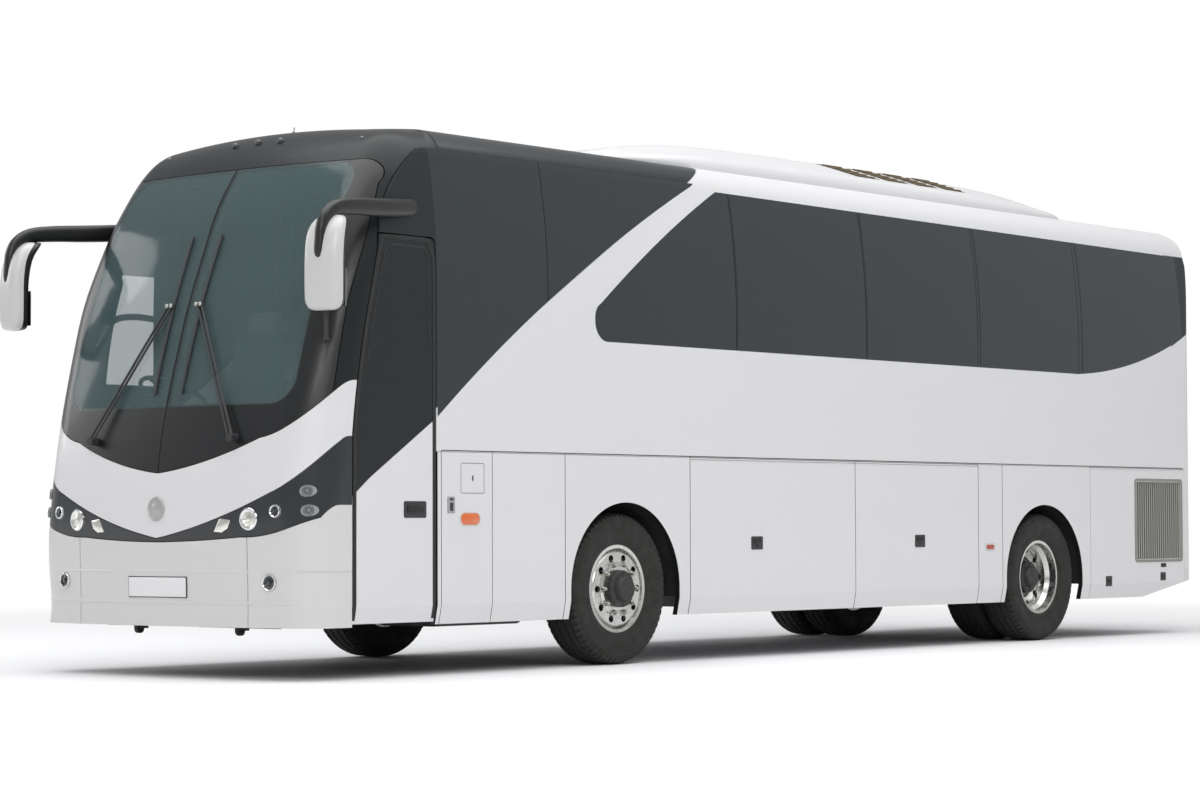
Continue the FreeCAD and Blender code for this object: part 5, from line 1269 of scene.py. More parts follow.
# ---------------------------------------------------------------- sides
@dataclass(frozen=True)
class SideFittings:
    """Catches, lamps, flap lines and grille on one side of the body."""

    face: Face
    catches: tuple[tuple[str, Flat], ...] = (("front", (-0.921, 0.808)), ("rear", (1.158, 0.810)))
    catch_size: Flat = (0.138, 0.094)
    marker: tuple[Panel, ...] = (
        Panel((-3.971, 0.979, 0.178, 0.074), 0.034, 0, 0.010, edge=0.006, crown=0.012),
        Panel((-3.971, 0.979, 0.196, 0.090), 0.042, 1, 0.004, edge=0.002))
    reflector: tuple[Panel, ...] = (
        Panel((2.145, 0.757, 0.150, 0.060), 0.028, 1, 0.004, edge=0.002),
        Panel((2.145, 0.757, 0.110, 0.034), 0.016, 0, 0.008, edge=0.002, crown=0.004))
    valve_box: tuple[Panel, ...] = (
        Panel((-4.150, 1.068, 0.070, 0.105), 0.008, 0, 0.005, edge=0.002),
        Panel((-4.150, 1.056, 0.0294, 0.0525), 0.006, 1, 0.008, 0.0),
        Panel((-4.150, 1.104, 0.035, 0.014), 0.005, 1, 0.008, 0.0))
    small_flap: Box = (-3.946, 1.238, 0.220, 0.190)
    grille: Box = (4.812, 0.964, 0.756, 0.648)
    # the frame stands this much outside the slats, both sides together
    grille_border: float = 0.036
    tail_squares: tuple[Box, ...] = (
        (3.972, 0.461, 0.100, 0.084), (4.876, 0.488, 0.088, 0.070), (4.886, 0.583, 0.088, 0.034))
    # share of each square's width and height that its grip takes
    grip: Flat = (0.6, 0.4)

    @property
    def tag(self) -> str:
        """Side name used in node names."""
        return self.face.value

    def build(self) -> None:
        """Make the fittings."""
        self.luggage_catches()
        self.lamps()
        self.tail_catches()
        self.flap_and_valves()
        self.engine_grille()

    def luggage_catches(self) -> None:
        """Square recessed catches of the luggage doors."""
        wide, high = self.catch_size
        for end, (y, z) in self.catches:
            node = f"luggage_door_{self.tag}_{end}"
            skin = Skin(node)
            shape = panels(skin, self.face, Panel((y, z, wide, high), 0.010, 0, 0.003, 0.005))
            place = skin.place(self.face, y, z)
            shape.slab(place @ move((0, 0.014, 0.005)), (wide * 0.62, high * 0.36, 0.006), 0.002, 1)
            shape.stud(place @ move((0, -0.020, 0)), (0.011, 0.008), (0.001, 0.006, 0.008), 20, 1, 0.0005)
            shape.piece(f"luggage_catch_{self.tag}_{end}", node, "trim_plastic", (PLASTIC, RUBBER))

    def lamps(self) -> None:
        """Side marker lamp and reflector, each in a pale holder."""
        skin = Skin(f"skirt_{self.tag}")
        for name, rows, lens in (("marker", self.marker, AMBER), ("reflector", self.reflector, RED)):
            shape = panels(skin, self.face, *rows)
            shape.piece(f"side_{name}_{self.tag}", "body", "lamp_red", (lens, PEARL))

    def tail_catches(self) -> None:
        """Catches of the engine side door."""
        node = f"engine_door_{self.tag}"
        rows = []
        for y, z, wide, high in self.tail_squares:
            rows += [Panel((y, z, wide, high), 0.008, 0, 0.004),
                     Panel((y, z, wide * self.grip[0], high * self.grip[1]), 0.004, 1, 0.006, 0.001)]
        shape = panels(Skin(node), self.face, *rows)
        shape.piece(f"tail_catches_{self.tag}", node, "trim_plastic", (PLASTIC, RUBBER))

    def flap_and_valves(self) -> None:
        """Small service flap with its key hole, and the door valve box."""
        skin = Skin(f"skirt_{self.tag}")
        shape = Shape()
        shape.ribbon(skin, self.face, rounded(self.small_flap, 0.010), 0.005, 0.0010, 0.002, closed=True)
        place = skin.place(self.face, *self.small_flap[:2])
        shape.slab(place @ move((0, 0.0, 0.002)), (0.010, 0.034, 0.006), 0.002, 1)
        shape.piece(f"service_flap_{self.tag}", "body", "trim_rubber", (SEAM, PLASTIC))
        if self.face is Face.LEFT:
            valves = panels(skin, self.face, *self.valve_box)
            valves.piece("door_valve_box", "body", "trim_plastic", (GREY_TRIM, PLASTIC))

    def engine_grille(self) -> None:
        """Frame round the air slats of the engine side door."""
        node = f"engine_door_{self.tag}"
        y, z, wide, high = self.grille
        line = rounded((y, z, wide + self.grille_border, high + self.grille_border), 0.024)
        shape = Shape()
        shape.ribbon(Skin(node), self.face, line, 0.022, 0.006, 0.003, closed=True)
        shape.piece(f"engine_grille_{self.tag}", node, "trim_plastic", (GRILLE,))


@dataclass(frozen=True)
class EntryDoor:
    """Handle and rubber edges of the entry door."""

    handle: Box = (-4.483, 1.038, 0.205, 0.104)
    # rims are looked for level from this line, and upwards from its top
    middle: float = -4.60
    low: float = 0.36
    high: float = 2.62
    seal: float = 0.028
    seal_inset: float = 0.012
    inner: float = 0.012
    inner_inset: float = 0.060
    inner_low: float = 1.95
    gap: float = 0.010
    jamb_radius: float = 0.0046
    jamb_top: float = 2.880
    # the jamb's face is read this far behind the leaf
    jamb_reach: float = 0.030
    # the top edge is looked for between points this far inside the rims
    top_fore: float = 0.04
    top_rear: float = 0.05
    rim_steps: int = 16
    top_steps: int = 6
    jamb_steps: int = 48

    def rim(self, skin: Skin, z: float, way: float) -> float:
        """Place of the leaf's front or rear rim at a height."""
        return skin.edge(Face.LEFT, (self.middle, z), (way, 0.0))[0]

    def outline(self, skin: Skin, inset: float, low: float) -> list[Flat]:
        """Path round the door, set in from its rims and open at the foot.

        Args:
            skin: surface of the door.
            inset: distance from the rims.
            low: height of the open ends.

        Returns:
            The flat path.
        """
        levels = [low + (self.high - low) * k / self.rim_steps for k in range(self.rim_steps + 1)]
        fore, rear = ([(self.rim(skin, z, way) - way * inset, z) for z in levels] for way in (-1.0, 1.0))
        start, end = fore[-1][0] + self.top_fore, rear[-1][0] - self.top_rear
        across = (start + (end - start) * k / self.top_steps for k in range(self.top_steps + 1))
        top = [skin.edge(Face.LEFT, (y, self.high), (0.0, 1.0)) for y in across]
        return fore + [(y, z - inset) for y, z in top] + rear[::-1]

    def build(self) -> None:
        """Make the seals and the handle."""
        shell = Skin("entry_door", "entry_door_glass")
        seals = Shape()
        seals.ribbon(shell, Face.LEFT, self.outline(shell, self.seal_inset, self.low), self.seal, 0.004)
        seals.ribbon(shell, Face.LEFT, self.outline(shell, self.inner_inset, self.inner_low), self.inner, 0.003)
        seals.piece("entry_door_seals", "entry_door", "trim_rubber", (RUBBER,))
        wall = Skin("side_wall_left", "skirt_left")
        line = []
        for k in range(self.jamb_steps + 1):
            z = self.low + (self.jamb_top - self.low) * k / self.jamb_steps
            y = self.rim(shell, z, 1.0)
            point, normal = wall.at(Face.LEFT, y + self.jamb_reach, z)
            line.append(Vector((point.x, y + self.gap / 2, z)) - normal * self.jamb_radius * 1.6)
        jamb = Shape()
        jamb.tube(line, self.jamb_radius, 8, up=ACROSS)
        jamb.piece("entry_door_jamb_seal", "body", "trim_rubber", (RUBBER,))
        skin = Skin("entry_door")
        y, z, wide, high = self.handle
        shape = panels(skin, Face.LEFT, Panel(self.handle, 0.012, 0, 0.003, 0.005))
        place = skin.place(Face.LEFT, y, z)
        shape.slab(place @ move((-0.018, 0.004, 0.006)), (wide * 0.52, high * 0.42, 0.010), 0.003, 1)
        shape.stud(place @ move((0.066, 0.0, 0)), (0.016, 0.012), (0.001, 0.006, 0.009), 24, 1, 0.0005)
        shape.piece("entry_door_handle", "entry_door", "trim_plastic", (PLASTIC, RUBBER))


# ---------------------------------------------------------------- mirrors
def squared(value: float, bulk: float) -> float:
    """Cosine or sine of a rounded-square outline; bulk 2 is a circle, more is squarer."""
    return math.copysign(abs(value) ** (2 / bulk), value)


@dataclass(frozen=True)
class Mirror:
    """One hanging mirror: painted shell, dark case and swept arm."""

    side: int
    axis: Flat = (1.415, -5.445)
    toe: float = 15.0
    half_width: float = 0.122
    head_bulk: float = 3.4
    arm_bulk: float = 2.7
    round_steps: int = 20
    rod_foot: Point = (1.404, -5.426, 2.052)
    rod_length: float = 0.20
    # height, painted front, seam, rear of the case, share of the half width
    stations: tuple[tuple[float, float, float, float, float], ...] = (
        (2.222, -0.030, -0.006, 0.030, 0.46), (2.226, -0.050, -0.003, 0.046, 0.66),
        (2.238, -0.066, 0.0, 0.053, 0.82), (2.260, -0.073, 0.0, 0.055, 0.93),
        (2.290, -0.076, 0.0, 0.055, 0.99), (2.360, -0.079, 0.0, 0.055, 1.0),
        (2.430, -0.080, 0.0, 0.055, 1.0), (2.500, -0.079, 0.0, 0.055, 1.0),
        (2.560, -0.076, 0.002, 0.060, 1.0), (2.620, -0.068, 0.008, 0.069, 1.0),
        (2.670, -0.055, 0.018, 0.082, 0.99), (2.710, -0.038, 0.034, 0.100, 0.96),
        (2.745, -0.014, 0.056, 0.124, 0.90), (2.772, 0.014, 0.078, 0.146, 0.80),
        (2.790, 0.040, 0.096, 0.160, 0.66), (2.800, 0.066, 0.106, 0.168, 0.46),
    )
    # middle of the arm, half width, half height
    way: tuple[tuple[float, float, float, float, float], ...] = (
        (1.150, -4.330, 2.937, 0.033, 0.057), (1.190, -4.440, 2.928, 0.033, 0.057),
        (1.270, -4.700, 2.903, 0.033, 0.057), (1.330, -4.950, 2.885, 0.032, 0.056),
        (1.372, -5.160, 2.872, 0.032, 0.053), (1.400, -5.330, 2.850, 0.032, 0.049),
        (1.414, -5.430, 2.800, 0.032, 0.042), (1.420, -5.482, 2.730, 0.032, 0.032),
        (1.421, -5.499, 2.650, 0.031, 0.026), (1.421, -5.507, 2.580, 0.030, 0.023),
        (1.421, -5.509, 2.545, 0.024, 0.018),
    )

    def on_head(self, across: float, depth: float, height: float) -> Vector:
        """Turn head coordinates into the vehicle's.

        Args:
            across: along the head.
            depth: to the rear.
            height: over the ground.

        Returns:
            The point.
        """
        turn = math.radians(self.toe)
        x = self.axis[0] + across * math.cos(turn) - depth * math.sin(turn)
        y = self.axis[1] + across * math.sin(turn) + depth * math.cos(turn)
        return Vector((self.side * x, y, height))

    def half_shell(self, front: bool) -> Shape:
        """Painted front or dark rear of the head.

        Args:
            front: true for the painted front.

        Returns:
            The new shape.
        """
        rings = []
        for height, fore, seam, rear, share in self.stations:
            half = self.half_width * share
            depth = (fore if front else rear) - seam
            angles = (math.pi * k / self.round_steps for k in range(self.round_steps + 1))
            ring = [self.on_head(half * squared(math.cos(t), self.head_bulk),
                                 seam + depth * squared(abs(math.sin(t)), self.head_bulk), height)
                    for t in angles]
            ring += [self.on_head(-half + 2 * half * k / 6, seam, height) for k in range(1, 6)]
            rings.append(ring)
        shape = Shape()
        shape.loft(rings)
        return shape

    def arm(self) -> Shape:
        """Swept arm from the wall to the front of the head.

        Returns:
            The new shape.
        """
        middle = smooth_path([Vector((self.side * x, y, z)) for x, y, z, _, _ in self.way], 5)
        sizes = smooth_path([Vector((a, b, 0)) for _, _, _, a, b in self.way], 5)
        rings = []
        for index, (point, size) in enumerate(zip(middle, sizes)):
            way = heading(middle, index)
            across = (ACROSS - way * ACROSS.dot(way)).normalized()
            up = way.cross(across).normalized()
            rings.append([point + across * size.x * squared(c, self.arm_bulk)
                          + up * size.y * squared(s, self.arm_bulk) for c, s in turns(self.round_steps)])
        last = rings[-1]
        tip = sum(last, Vector()) / len(last)
        way = heading(middle, len(middle) - 1)
        for scale, reach in ((0.7, 0.012), (0.3, 0.017)):
            rings.append([tip + (p - tip) * scale + way * reach for p in last])
        shape = Shape()
        shape.loft(rings)
        return shape

    def build(self) -> list[bpy.types.Object]:
        """Make the mirror.

        Returns:
            The shell, the case and the arm.
        """
        tag = "left" if self.side > 0 else "right"
        shell = self.half_shell(True).piece(f"mirror_shell_{tag}", "body", "body_white", (PEARL,), 60)
        case = self.half_shell(False).piece(f"mirror_case_{tag}", "body", "trim_plastic", (SATIN,), 50)
        arm = self.arm().piece(f"mirror_arm_{tag}", "body", "trim_plastic", (SATIN,), 60)
        if self.side > 0:
            foot = Vector(self.rod_foot)
            rod = Shape()
            rod.tube([foot, foot + UP * self.rod_length], 0.013, 16, up=ALONG)
            knob = ((0.0, -0.006), (0.015, -0.004), (0.017, 0.004), (0.017, 0.012), (0.0, 0.012))
            rod.lathe(knob, move(foot), 16)
            rod.piece(f"mirror_rod_{tag}", "body", "trim_plastic", (PLASTIC,))
        return [shell, case, arm]


def build_mirrors() -> None:
    """Make both mirrors in place of their simple solids."""
    left = Mirror(1).build()
    Mirror(-1).build()
    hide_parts("mirror_heads")
    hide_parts("mirror_arms")


# ---------------------------------------------------------------- wheels
@dataclass(frozen=True)
class Tyre:
    """Truck tyre with ribs, shoulder blocks and sidewall ridges."""

    radius: float = 0.508
    half_width: float = 0.144
    bead: float = 0.290
    pitches: int = 64
    groove: float = 0.012
    slot: float = 0.009
    grooves: tuple[float, ...] = (0.086, 0.031, -0.031, -0.086)

    def profile(self, cut: bool) -> list[Flat]:
        """Radius and offset pairs from the inner bead round the tread to the outer bead.

        Args:
            cut: true at a shoulder slot, where the blocks are lowered.

        Returns:
            The closed profile.
        """
        w, r, bead = self.half_width, self.radius, self.bead
        low = self.slot if cut else 0.0
        half = [
            (bead, w - 0.040), (bead + 0.006, w - 0.026), (bead + 0.020, w - 0.016),
            (bead + 0.040, w - 0.008), (bead + 0.052, w - 0.0065), (bead + 0.056, w - 0.0035),
            (bead + 0.062, w - 0.0035), (bead + 0.066, w - 0.005), (0.385, w + 0.0005),
            (0.420, w + 0.002), (0.440, w + 0.0015), (0.444, w + 0.004), (0.450, w + 0.004),
            (0.454, w + 0.001), (0.470, w - 0.003 - low * 0.4), (0.484, w - 0.010 - low * 0.4),
            (0.494 - low, w - 0.016), (r - 0.007 - low, w - 0.030), (r - 0.003 - low, w - 0.044),
        ]
        tread: list[Flat] = []
        for centre in self.grooves:
            edge = r - (0.0 if abs(centre) < 0.05 else 0.0015)
            tread += [(edge, centre + 0.007), (r - self.groove, centre + 0.004),
                      (r - self.groove, centre - 0.004), (edge, centre - 0.007)]
        return half + tread + [(a, -b) for a, b in reversed(half)]

    def mesh(self, shape: Shape, centre: Vector) -> None:
        """Add one tyre round an axle along X.

        Args:
            shape: piece it is added to.
            centre: middle of the tyre.
        """
        solid, slot = self.profile(False), self.profile(True)
        rings = []
        for pitch in range(self.pitches):
            for share, chosen in ((0.0, solid), (0.66, solid), (0.70, slot), (0.96, slot)):
                angle = 2 * math.pi * (pitch + share) / self.pitches
                rings.append([centre + Vector((offset, radius * math.cos(angle), radius * math.sin(angle)))
                              for radius, offset in chosen])
        shape.loft(rings, loop=True)


@dataclass(frozen=True)
class Wheels:
    """Tyres, wheel nuts and hub caps of both axles."""

    nuts: int = 10
    nut_circle: float = 0.1675
    nut_radius: float = 0.0165
    hub: float = 0.125
    hub_bolts: int = 8
    least_lip: float = 0.040
    cap_height: float = 0.040
    # a node wider than this holds two tyres
    twin_width: float = 0.45
    tyre_margin: float = 0.004
    lip_margin: float = 0.006

    def tyre_piece(self, node: str, body: str) -> None:
        """Replace a tyre node, twin tyres included, at its own places.

        Args:
            node: node that is replaced.
            body: CAD body that it moves with.
        """
        low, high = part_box(node)
        x, y, z = centre_of(low, high)
        shape = Shape()
        tyre = Tyre()
        half = tyre.half_width + self.tyre_margin
        twin = high[0] - low[0] > self.twin_width
        for place in ((low[0] + half, high[0] - half) if twin else (x,)):
            tyre.mesh(shape, Vector((place, y, z)))
        made = shape.piece(f"{node}_treaded", body, "tyre", (TYRE,), 28)
        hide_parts(node)

    def nuts_and_hub(self, tag: str, body: str, seat: Vector, side: int, lip: float) -> None:
        """Add nuts with washers, and the hub cap, in front of a wheel disc.

        Args:
            tag: axle and side, for the piece's name.
            body: CAD body that they move with.
            seat: point of the disc's face on the wheel's axis.
            side: 1 on the left, -1 on the right.
            lip: height of the hub's edge over the disc.
        """
        shape = Shape()
        centre = frame_at(seat, Vector((0, 0, -side)), ALONG, Vector((side, 0, 0)))
        r, hub, high = self.nut_radius, self.hub, lip + self.cap_height
        for c, s in turns(self.nuts, 0.5):
            foot = centre @ move((self.nut_circle * c, self.nut_circle * s, 0))
            shape.stud(foot, (r * 1.45, r * 1.2), (-0.003, 0.003, 0.005), 20)
            shape.stud(foot, (r, r * 0.85), (0.004, 0.024, 0.028), 6)
            shape.stud(foot, (r * 0.55, r * 0.4), (0.026, 0.040, 0.043), 12)
        cap = ((0.0, -0.01), (hub, -0.01), (hub, lip), (hub - 0.010, lip + 0.008), (hub * 0.72, lip + 0.012),
               (hub * 0.66, high), (hub * 0.60, high + 0.008), (0.0, high + 0.010))
        shape.lathe(cap, centre, 40, 1)
        for c, s in turns(self.hub_bolts):
            foot = centre @ move((hub * 0.86 * c, hub * 0.86 * s, lip + 0.007))
            shape.stud(foot, (0.007, 0.005), (-0.004, 0.006, 0.008), 6, 1)
        shape.piece(f"wheel_nuts_{tag}", body, "wheel_alloy", (NUT_STEEL, HUB_IRON))

    def build(self) -> None:
        """Dress all wheels."""
        for side, face in SIDES:
            tag = face.value
            self.tyre_piece(f"tyre_front_{tag}", f"wheel_front_{tag}")
            self.tyre_piece(f"tyres_rear_{tag}", f"wheels_rear_{tag}")
            for node, axle in ((f"rim_front_{tag}", "front"), (f"rims_rear_{tag}", "rear")):
                _, y, z = centre_of(*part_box(node))
                skin = Skin(node)
                point, _ = skin.at(face, y + self.nut_circle, z)
                middle, _ = skin.at(face, y, z)
                lip = max(self.least_lip, (middle.x - point.x) * side + self.lip_margin)
                body = f"wheel_front_{tag}" if axle == "front" else f"wheels_rear_{tag}"
                self.nuts_and_hub(f"{axle}_{tag}", body, Vector((point.x, y, z)), side, lip)


# ---------------------------------------------------------------- saloon
def cushion(shape: Shape, place: Matrix, size: Point, crown: float, pull: float, mark: int = 0) -> None:
    """Closed crowned pad whose sides pull in between its corners.

    Args:
        shape: piece it is added to.
        place: frame at the middle of its underside, Z up through the pad.
        size: width, depth and thickness.
        crown: rise of the middle.
        pull: draw-in of the sides.
        mark: finish number.
    """
    wide, deep, thick = size
    steps = [k / 4 - 1 for k in range(8)]
    rim = ([(s, -1.0) for s in steps] + [(1.0, s) for s in steps]
           + [(-s, 1.0) for s in steps] + [(-1.0, -s) for s in steps])
    # scale of the outline, height, share of the pull
    rows = ((0.80, 0.0, 0.0), (0.93, 0.008, 0.0), (0.985, thick * 0.25, 0.6), (1.0, thick * 0.50, 1.0),
            (0.985, thick * 0.78, 0.6), (0.93, thick * 0.94, 0.2), (0.80, thick, 0.0), (0.55, thick, 0.0),
            (0.28, thick, 0.0), (0.05, thick, 0.0))
    rings = []
    for scale, height, bulge in rows:
        rise = crown * (1 - scale * scale) if height >= thick * 0.94 else 0.0
        ring = []
        for a, b in rim:
            draw = 1 - pull * (1 - a * a if abs(b) == 1.0 else 1 - b * b) * (0.4 + 0.6 * bulge)
            soft = 1 - 0.06 * (abs(a * b) ** 3)
            ring.append(place @ Vector((a * wide / 2 * scale * soft * draw, b * deep / 2 * scale * soft * draw,
                                        height + rise)))
        rings.append(ring)
    shape.loft(rings, mark)


@dataclass(frozen=True)
class SeatForm:
    """Sizes of one seat's pads; the places count from the seat's front and its underside."""

    width: float = 0.440
    depth: float = 0.450
    thick: float = 0.130
    crown: float = 0.018
    pad_share: float = 0.97
    back_height: float = 0.700
    back_thick: float = 0.110
    back_share: float = 0.95
    rake: float = 14.0
    middle: float = 0.250
    hinge: Flat = (0.500, 0.110)
    # middle of the back over half its height, top pad over its whole height, each with its depth
    back_at: Flat = (-0.03, -0.055)
    top_at: Flat = (-0.14, 0.040)
    top_size: Point = (0.2904, 0.20, 0.045)

    def pads(self, shape: Shape, x: float, y: float, seat: float) -> None:
        """Add the seat cushion, the back and the pad on its top, which face the front.

        Args:
            shape: piece they are added to.
            x: middle of the seat.
            y: its front.
            seat: underside of its cushion.
        """
        pad_size = (self.width * self.pad_share, self.depth, self.thick)
        cushion(shape, move((x, y + self.middle, seat)), pad_size, self.crown, 0.035)
        tilt = Matrix.Rotation(math.radians(90 - self.rake), 4, "X")
        lean = move((x, y + self.hinge[0], seat + self.hinge[1])) @ tilt
        back = lean @ move((0, self.back_height / 2 + self.back_at[0], self.back_at[1]))
        cushion(shape, back, (self.width * self.back_share, self.back_height, self.back_thick), 0.022, 0.040)
        top = lean @ move((0, self.back_height + self.top_at[0], self.top_at[1]))
        cushion(shape, top, self.top_size, 0.012, 0.03, 1)


@dataclass(frozen=True)
class Saloon:
    """Passenger seats and driver's seat."""

    form: SeatForm = SeatForm()
    seat_height: float = 0.320
    # place behind the seat's front, height over the floor, size and chamfer
    slabs: tuple[tuple[float, float, Point, float], ...] = (
        (0.27, 0.160, (0.042, 0.30, 0.320), 0.010), (0.27, 0.008, (0.300, 0.34, 0.016), 0.004),
        (0.26, 0.314, (0.396, 0.40, 0.016), 0.004))
    # the same for the arm rests, whose middle stands this far inside the cushion's side
    arm_inset: float = 0.012
    arm_place: Flat = (0.33, 0.590)
    arm_size: Point = (0.034, 0.29, 0.034)
    driver_form: SeatForm = SeatForm(
        width=0.480, depth=0.470, crown=0.02, pad_share=0.96, back_height=0.640, back_share=0.92, rake=12.0,
        hinge=(0.500, 0.10), back_at=(-0.02, -0.05), top_at=(0.03, -0.04), top_size=(0.27, 0.16, 0.085))
    # share of the driver's whole seat height that its base takes, and the base's width and depth
    driver_seat: float = 0.36
    driver_base: Flat = (0.36, 0.36)

    def seat_places(self) -> list[Point]:
        """Middle, front and floor of each seat, read from the simple solids.

        Returns:
            The places in order.
        """
        grown = bmesh.new()
        grown.from_mesh(frame["nodes"]["passenger_seats"].data)
        bmesh.ops.remove_doubles(grown, verts=grown.verts, dist=1e-5)
        left = set(grown.verts)
        places = []
        while left:
            group = [left.pop()]
            for vert in group:
                fresh = {edge.other_vert(vert) for edge in vert.link_edges} & left
                left -= fresh
                group.extend(fresh)
            xs = [v.co.x for v in group]
            places.append(((min(xs) + max(xs)) / 2, min(v.co.y for v in group), min(v.co.z for v in group)))
        grown.free()
        return sorted(places)

    def one_seat(self, pads: Shape, frames: Shape, x: float, y: float, z: float) -> None:
        """Add one passenger seat that faces the front.

        Args:
            pads: piece with the cushions.
            frames: piece with the frames.
            x: middle of the seat.
            y: its front.
            z: floor under it.
        """
        self.form.pads(pads, x, y, z + self.seat_height)
        for behind, height, size, edge in self.slabs:
            frames.slab(move((x, y + behind, z + height)), size, edge)
        behind, height = self.arm_place
        for way in (-1, 1):
            place = move((x + way * (self.form.width / 2 - self.arm_inset), y + behind, z + height))
            frames.slab(place, self.arm_size, 0.012)

    def build(self) -> None:
        """Make the seats."""
        pads, frames = Shape(), Shape()
        for x, y, z in self.seat_places():
            self.one_seat(pads, frames, x, y, z)
        cushions = pads.piece("passenger_seat_pads", "body", "seat_fabric", (MOQUETTE, PIPING), 60)
        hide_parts("passenger_seats")
        frames.piece("passenger_seat_frames", "body", "dark_steel", (STEEL,))
        self.driver()

    def driver(self) -> None:
        """Driver's seat in place of its simple solid."""
        low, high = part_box("driver_seat")
        x, _, _ = centre_of(low, high)
        _, y, z = low
        seat = z + (high[2] - z) * self.driver_seat
        pads, frames = Shape(), Shape()
        form = self.driver_form
        form.pads(pads, x, y, seat)
        frames.slab(move((x, y + form.middle, (z + seat) / 2)), (*self.driver_base, seat - z), 0.03)
        pad = pads.piece("driver_seat_pads", "body", "seat_fabric", (MOQUETTE, PIPING), 60)
        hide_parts("driver_seat")
        frames.piece("driver_seat_base", "body", "dark_steel", (STEEL,))


# ---------------------------------------------------------------- roof
@dataclass(frozen=True)
class RoofUnit:
    """Moulded air-conditioning cover: one crowned shell with raked louvres on each flank."""

    # place along the coach, height over the roof crown, half width
    stations: tuple[Point, ...] = (
        (-2.008, 0.004, 0.62), (-1.990, 0.028, 0.73), (-1.930, 0.050, 0.82), (-1.820, 0.074, 0.89),
        (-1.640, 0.101, 0.94), (-1.420, 0.127, 0.966), (-1.180, 0.147, 0.978), (-0.760, 0.161, 0.983),
        (-0.200, 0.169, 0.984), (0.700, 0.171, 0.984), (1.700, 0.168, 0.984), (2.450, 0.158, 0.983),
        (3.020, 0.136, 0.980), (3.350, 0.108, 0.968), (3.600, 0.078, 0.944), (3.780, 0.050, 0.900),
        (3.890, 0.026, 0.840), (3.945, 0.004, 0.720))
    # share of the half width, share of the height
    section: tuple[Flat, ...] = (
        (1.0, 0.0), (1.0, 0.20), (0.972, 0.43), (0.898, 0.585), (0.820, 0.775), (0.745, 0.935), (0.680, 0.985),
        (0.560, 1.0), (0.300, 1.012), (0.0, 1.016))
    sink: float = 0.012
    vents: int = 4
    vent_start: float = 0.546
    vent_pitch: float = 0.412
    vent_length: float = 0.285
    vent_rake: float = 0.330
    vent_top: float = 3.676
    vent_foot: float = 3.596
    vent_margin: float = 0.012
    blades: int = 5

    def cover(self) -> bpy.types.Object:
        """Crowned shell that follows the roof.

        Returns:
            The cover.
        """
        roof = Skin("roof_panel")
        half = smooth_path([Vector((a, b, 0.0)) for a, b in self.section], 3)
        across = [(p.x, p.y) for p in half] + [(-p.x, p.y) for p in half[-2::-1]]
        rings = []
        for y, lift, wide in smooth_path([Vector(s) for s in self.stations], 3):
            crown = roof.at(Face.TOP, 0.0, y)[0].z + lift
            feet = [(share * wide, part, roof.at(Face.TOP, share * wide, y)[0].z) for share, part in across]
            upper = [Vector((x, y, z + (crown - z) * part - self.sink * (part <= 0))) for x, part, z in feet]
            lower = [Vector((x, y, z - self.sink)) for x, _, z in feet[-2:0:-1]]
            rings.append(upper + lower)
        shape = Shape()
        shape.loft(rings)
        return shape.piece("roof_unit_cover", "body", "body_white", (WHITE,), 50)

    def build(self) -> None:
        """Make the cover and its louvres."""
        made = self.cover()
        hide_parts("roof_unit")
        shell = Skin(meshes=(made.data,))
        shape = Shape()
        top, foot = self.vent_top, self.vent_foot
        for _, face in SIDES:
            for y in (self.vent_start + index * self.vent_pitch for index in range(self.vents)):
                rear, rake = y + self.vent_length, self.vent_rake
                corners = [(y, top), (rear, top), (rear + rake, foot), (y + rake, foot), (y, top)]
                # dark sheet under the blades: painted shade of the openings
                shape.patch(shell, face, densed(corners, least=8))
                for share in ((blade + 0.5) / self.blades for blade in range(self.blades)):
                    start = y + rake * share + self.vent_margin
                    end = start + self.vent_length - 2 * self.vent_margin
                    level = top + (foot - top) * share
                    shape.ribbon(shell, face, [(start, level), (end, level)], 0.009, 0.010, 0.001, 1)
        shape.piece("roof_unit_louvres", "body", "trim_plastic", (LOUVRE_OPENING_SHADE, LOUVRE))


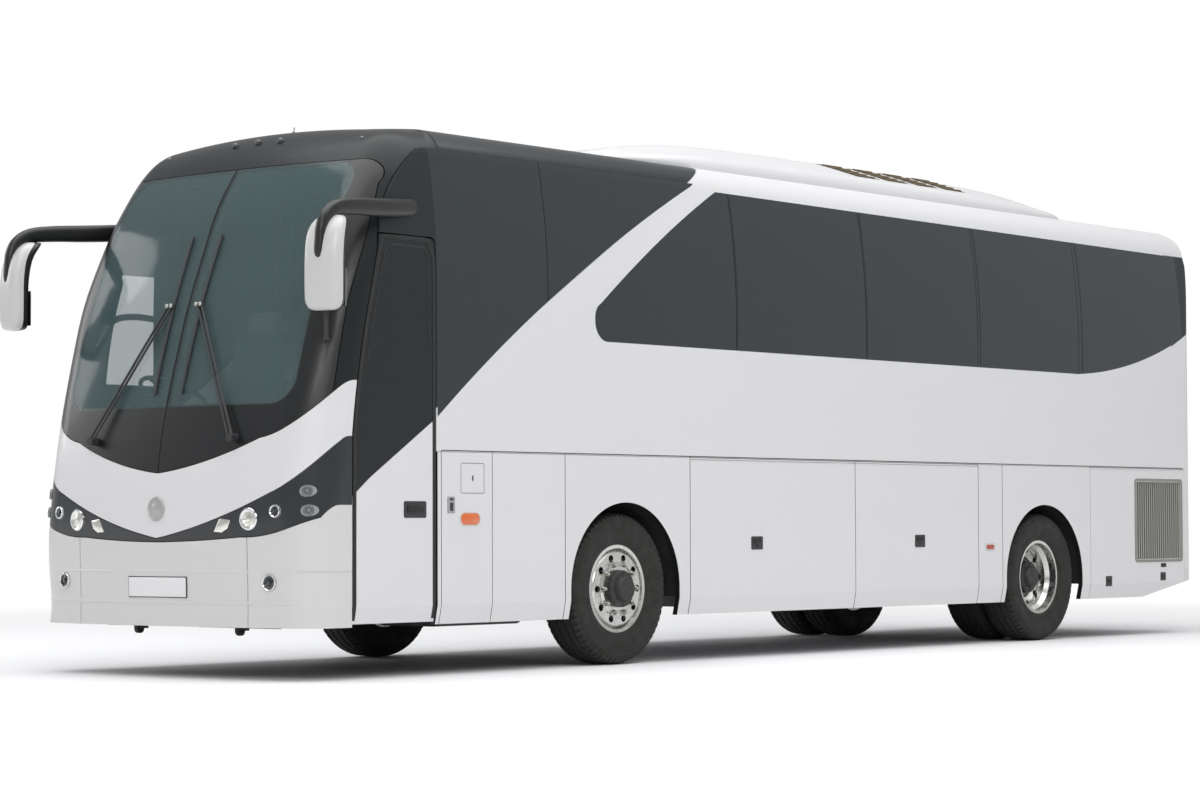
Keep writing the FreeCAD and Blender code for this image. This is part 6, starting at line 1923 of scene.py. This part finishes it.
# ---------------------------------------------------------------- tail
@dataclass(frozen=True)
class TailTrim:
    """Lamp faces and plate at the rear."""

    # finish mark of each lamp, from the lowest
    lamps: tuple[int, ...] = (2, 0, 1, 0)
    ring: float = 0.008
    plate: Box = (0.0, 0.86, 0.520, 0.130)

    def build(self) -> None:
        """Make the tail trim."""
        low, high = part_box("tail_lamps")
        skin = Skin("tail_lamps")
        points = [v.co for v in frame["nodes"]["tail_lamps"].data.vertices]
        pitch = (high[2] - low[2]) / len(self.lamps)
        shape = Shape()
        for side, _ in SIDES:
            xs = [p.x for p in points if p.x * side > 0]
            r = min((max(xs) - min(xs)) * 0.40, pitch * 0.42)
            for k, mark in enumerate(self.lamps):
                place = skin.place(Face.REAR, (min(xs) + max(xs)) / 2, low[2] + pitch * (k + 0.5))
                inner = r - self.ring
                ring = ((r, -0.004), (r, 0.005), (r - self.ring / 2, 0.009), (inner, 0.005), (inner, -0.004))
                shape.lathe(ring, place, 36, 3, loop=True)
                lens = ((0.0, -0.004), (inner, -0.004), (inner, 0.003), (r * 0.6, 0.007), (0.0, 0.009))
                shape.lathe(lens, place, 36, mark)
        shape.piece("tail_lamp_faces", "body", "lamp_red", (RED, AMBER, GREY_LENS, CHROME))
        hatch = "engine_hatch"
        blank_plate(Skin(hatch), Face.REAR, self.plate, 0.014, 0.009, "rear_plate_blank", hatch)


@dataclass(frozen=True)
class WiperJoints:
    """Bright joints of the wiper linkage."""

    joint: Point = (0.134, -5.262, 2.331)
    half_gap: float = 0.018

    def build(self) -> None:
        """Make the joints."""
        shape = Shape()
        x, y, z = self.joint
        for side, _ in SIDES:
            for dx in (-self.half_gap, self.half_gap):
                place = move((side * x + dx, y - 0.008, z)) @ Matrix.Rotation(math.pi / 2, 4, "X")
                shape.lathe(((0.0, -0.012), (0.012, -0.012), (0.014, -0.008), (0.014, 0.010), (0.010, 0.014),
                             (0.0, 0.015)), place, 20)
        shape.piece("wiper_joints", "body", "wheel_alloy", (NUT_STEEL,))


def main() -> None:
    """Build everything in order."""
    studio = Studio()
    studio.camera()
    studio.floor()
    studio.light()
    dress_cad()
    for part in (FrontLamps(), FrontTrim(), ScreenTrim(), SideFittings(Face.LEFT), SideFittings(Face.RIGHT),
                 EntryDoor(), Wheels(), Saloon(), RoofUnit(), TailTrim(), WiperJoints()):
        part.build()
        log.info("built %s", type(part).__name__)
    build_mirrors()


if __name__ == "__main__":
    logging.basicConfig(level=logging.INFO)
    main()
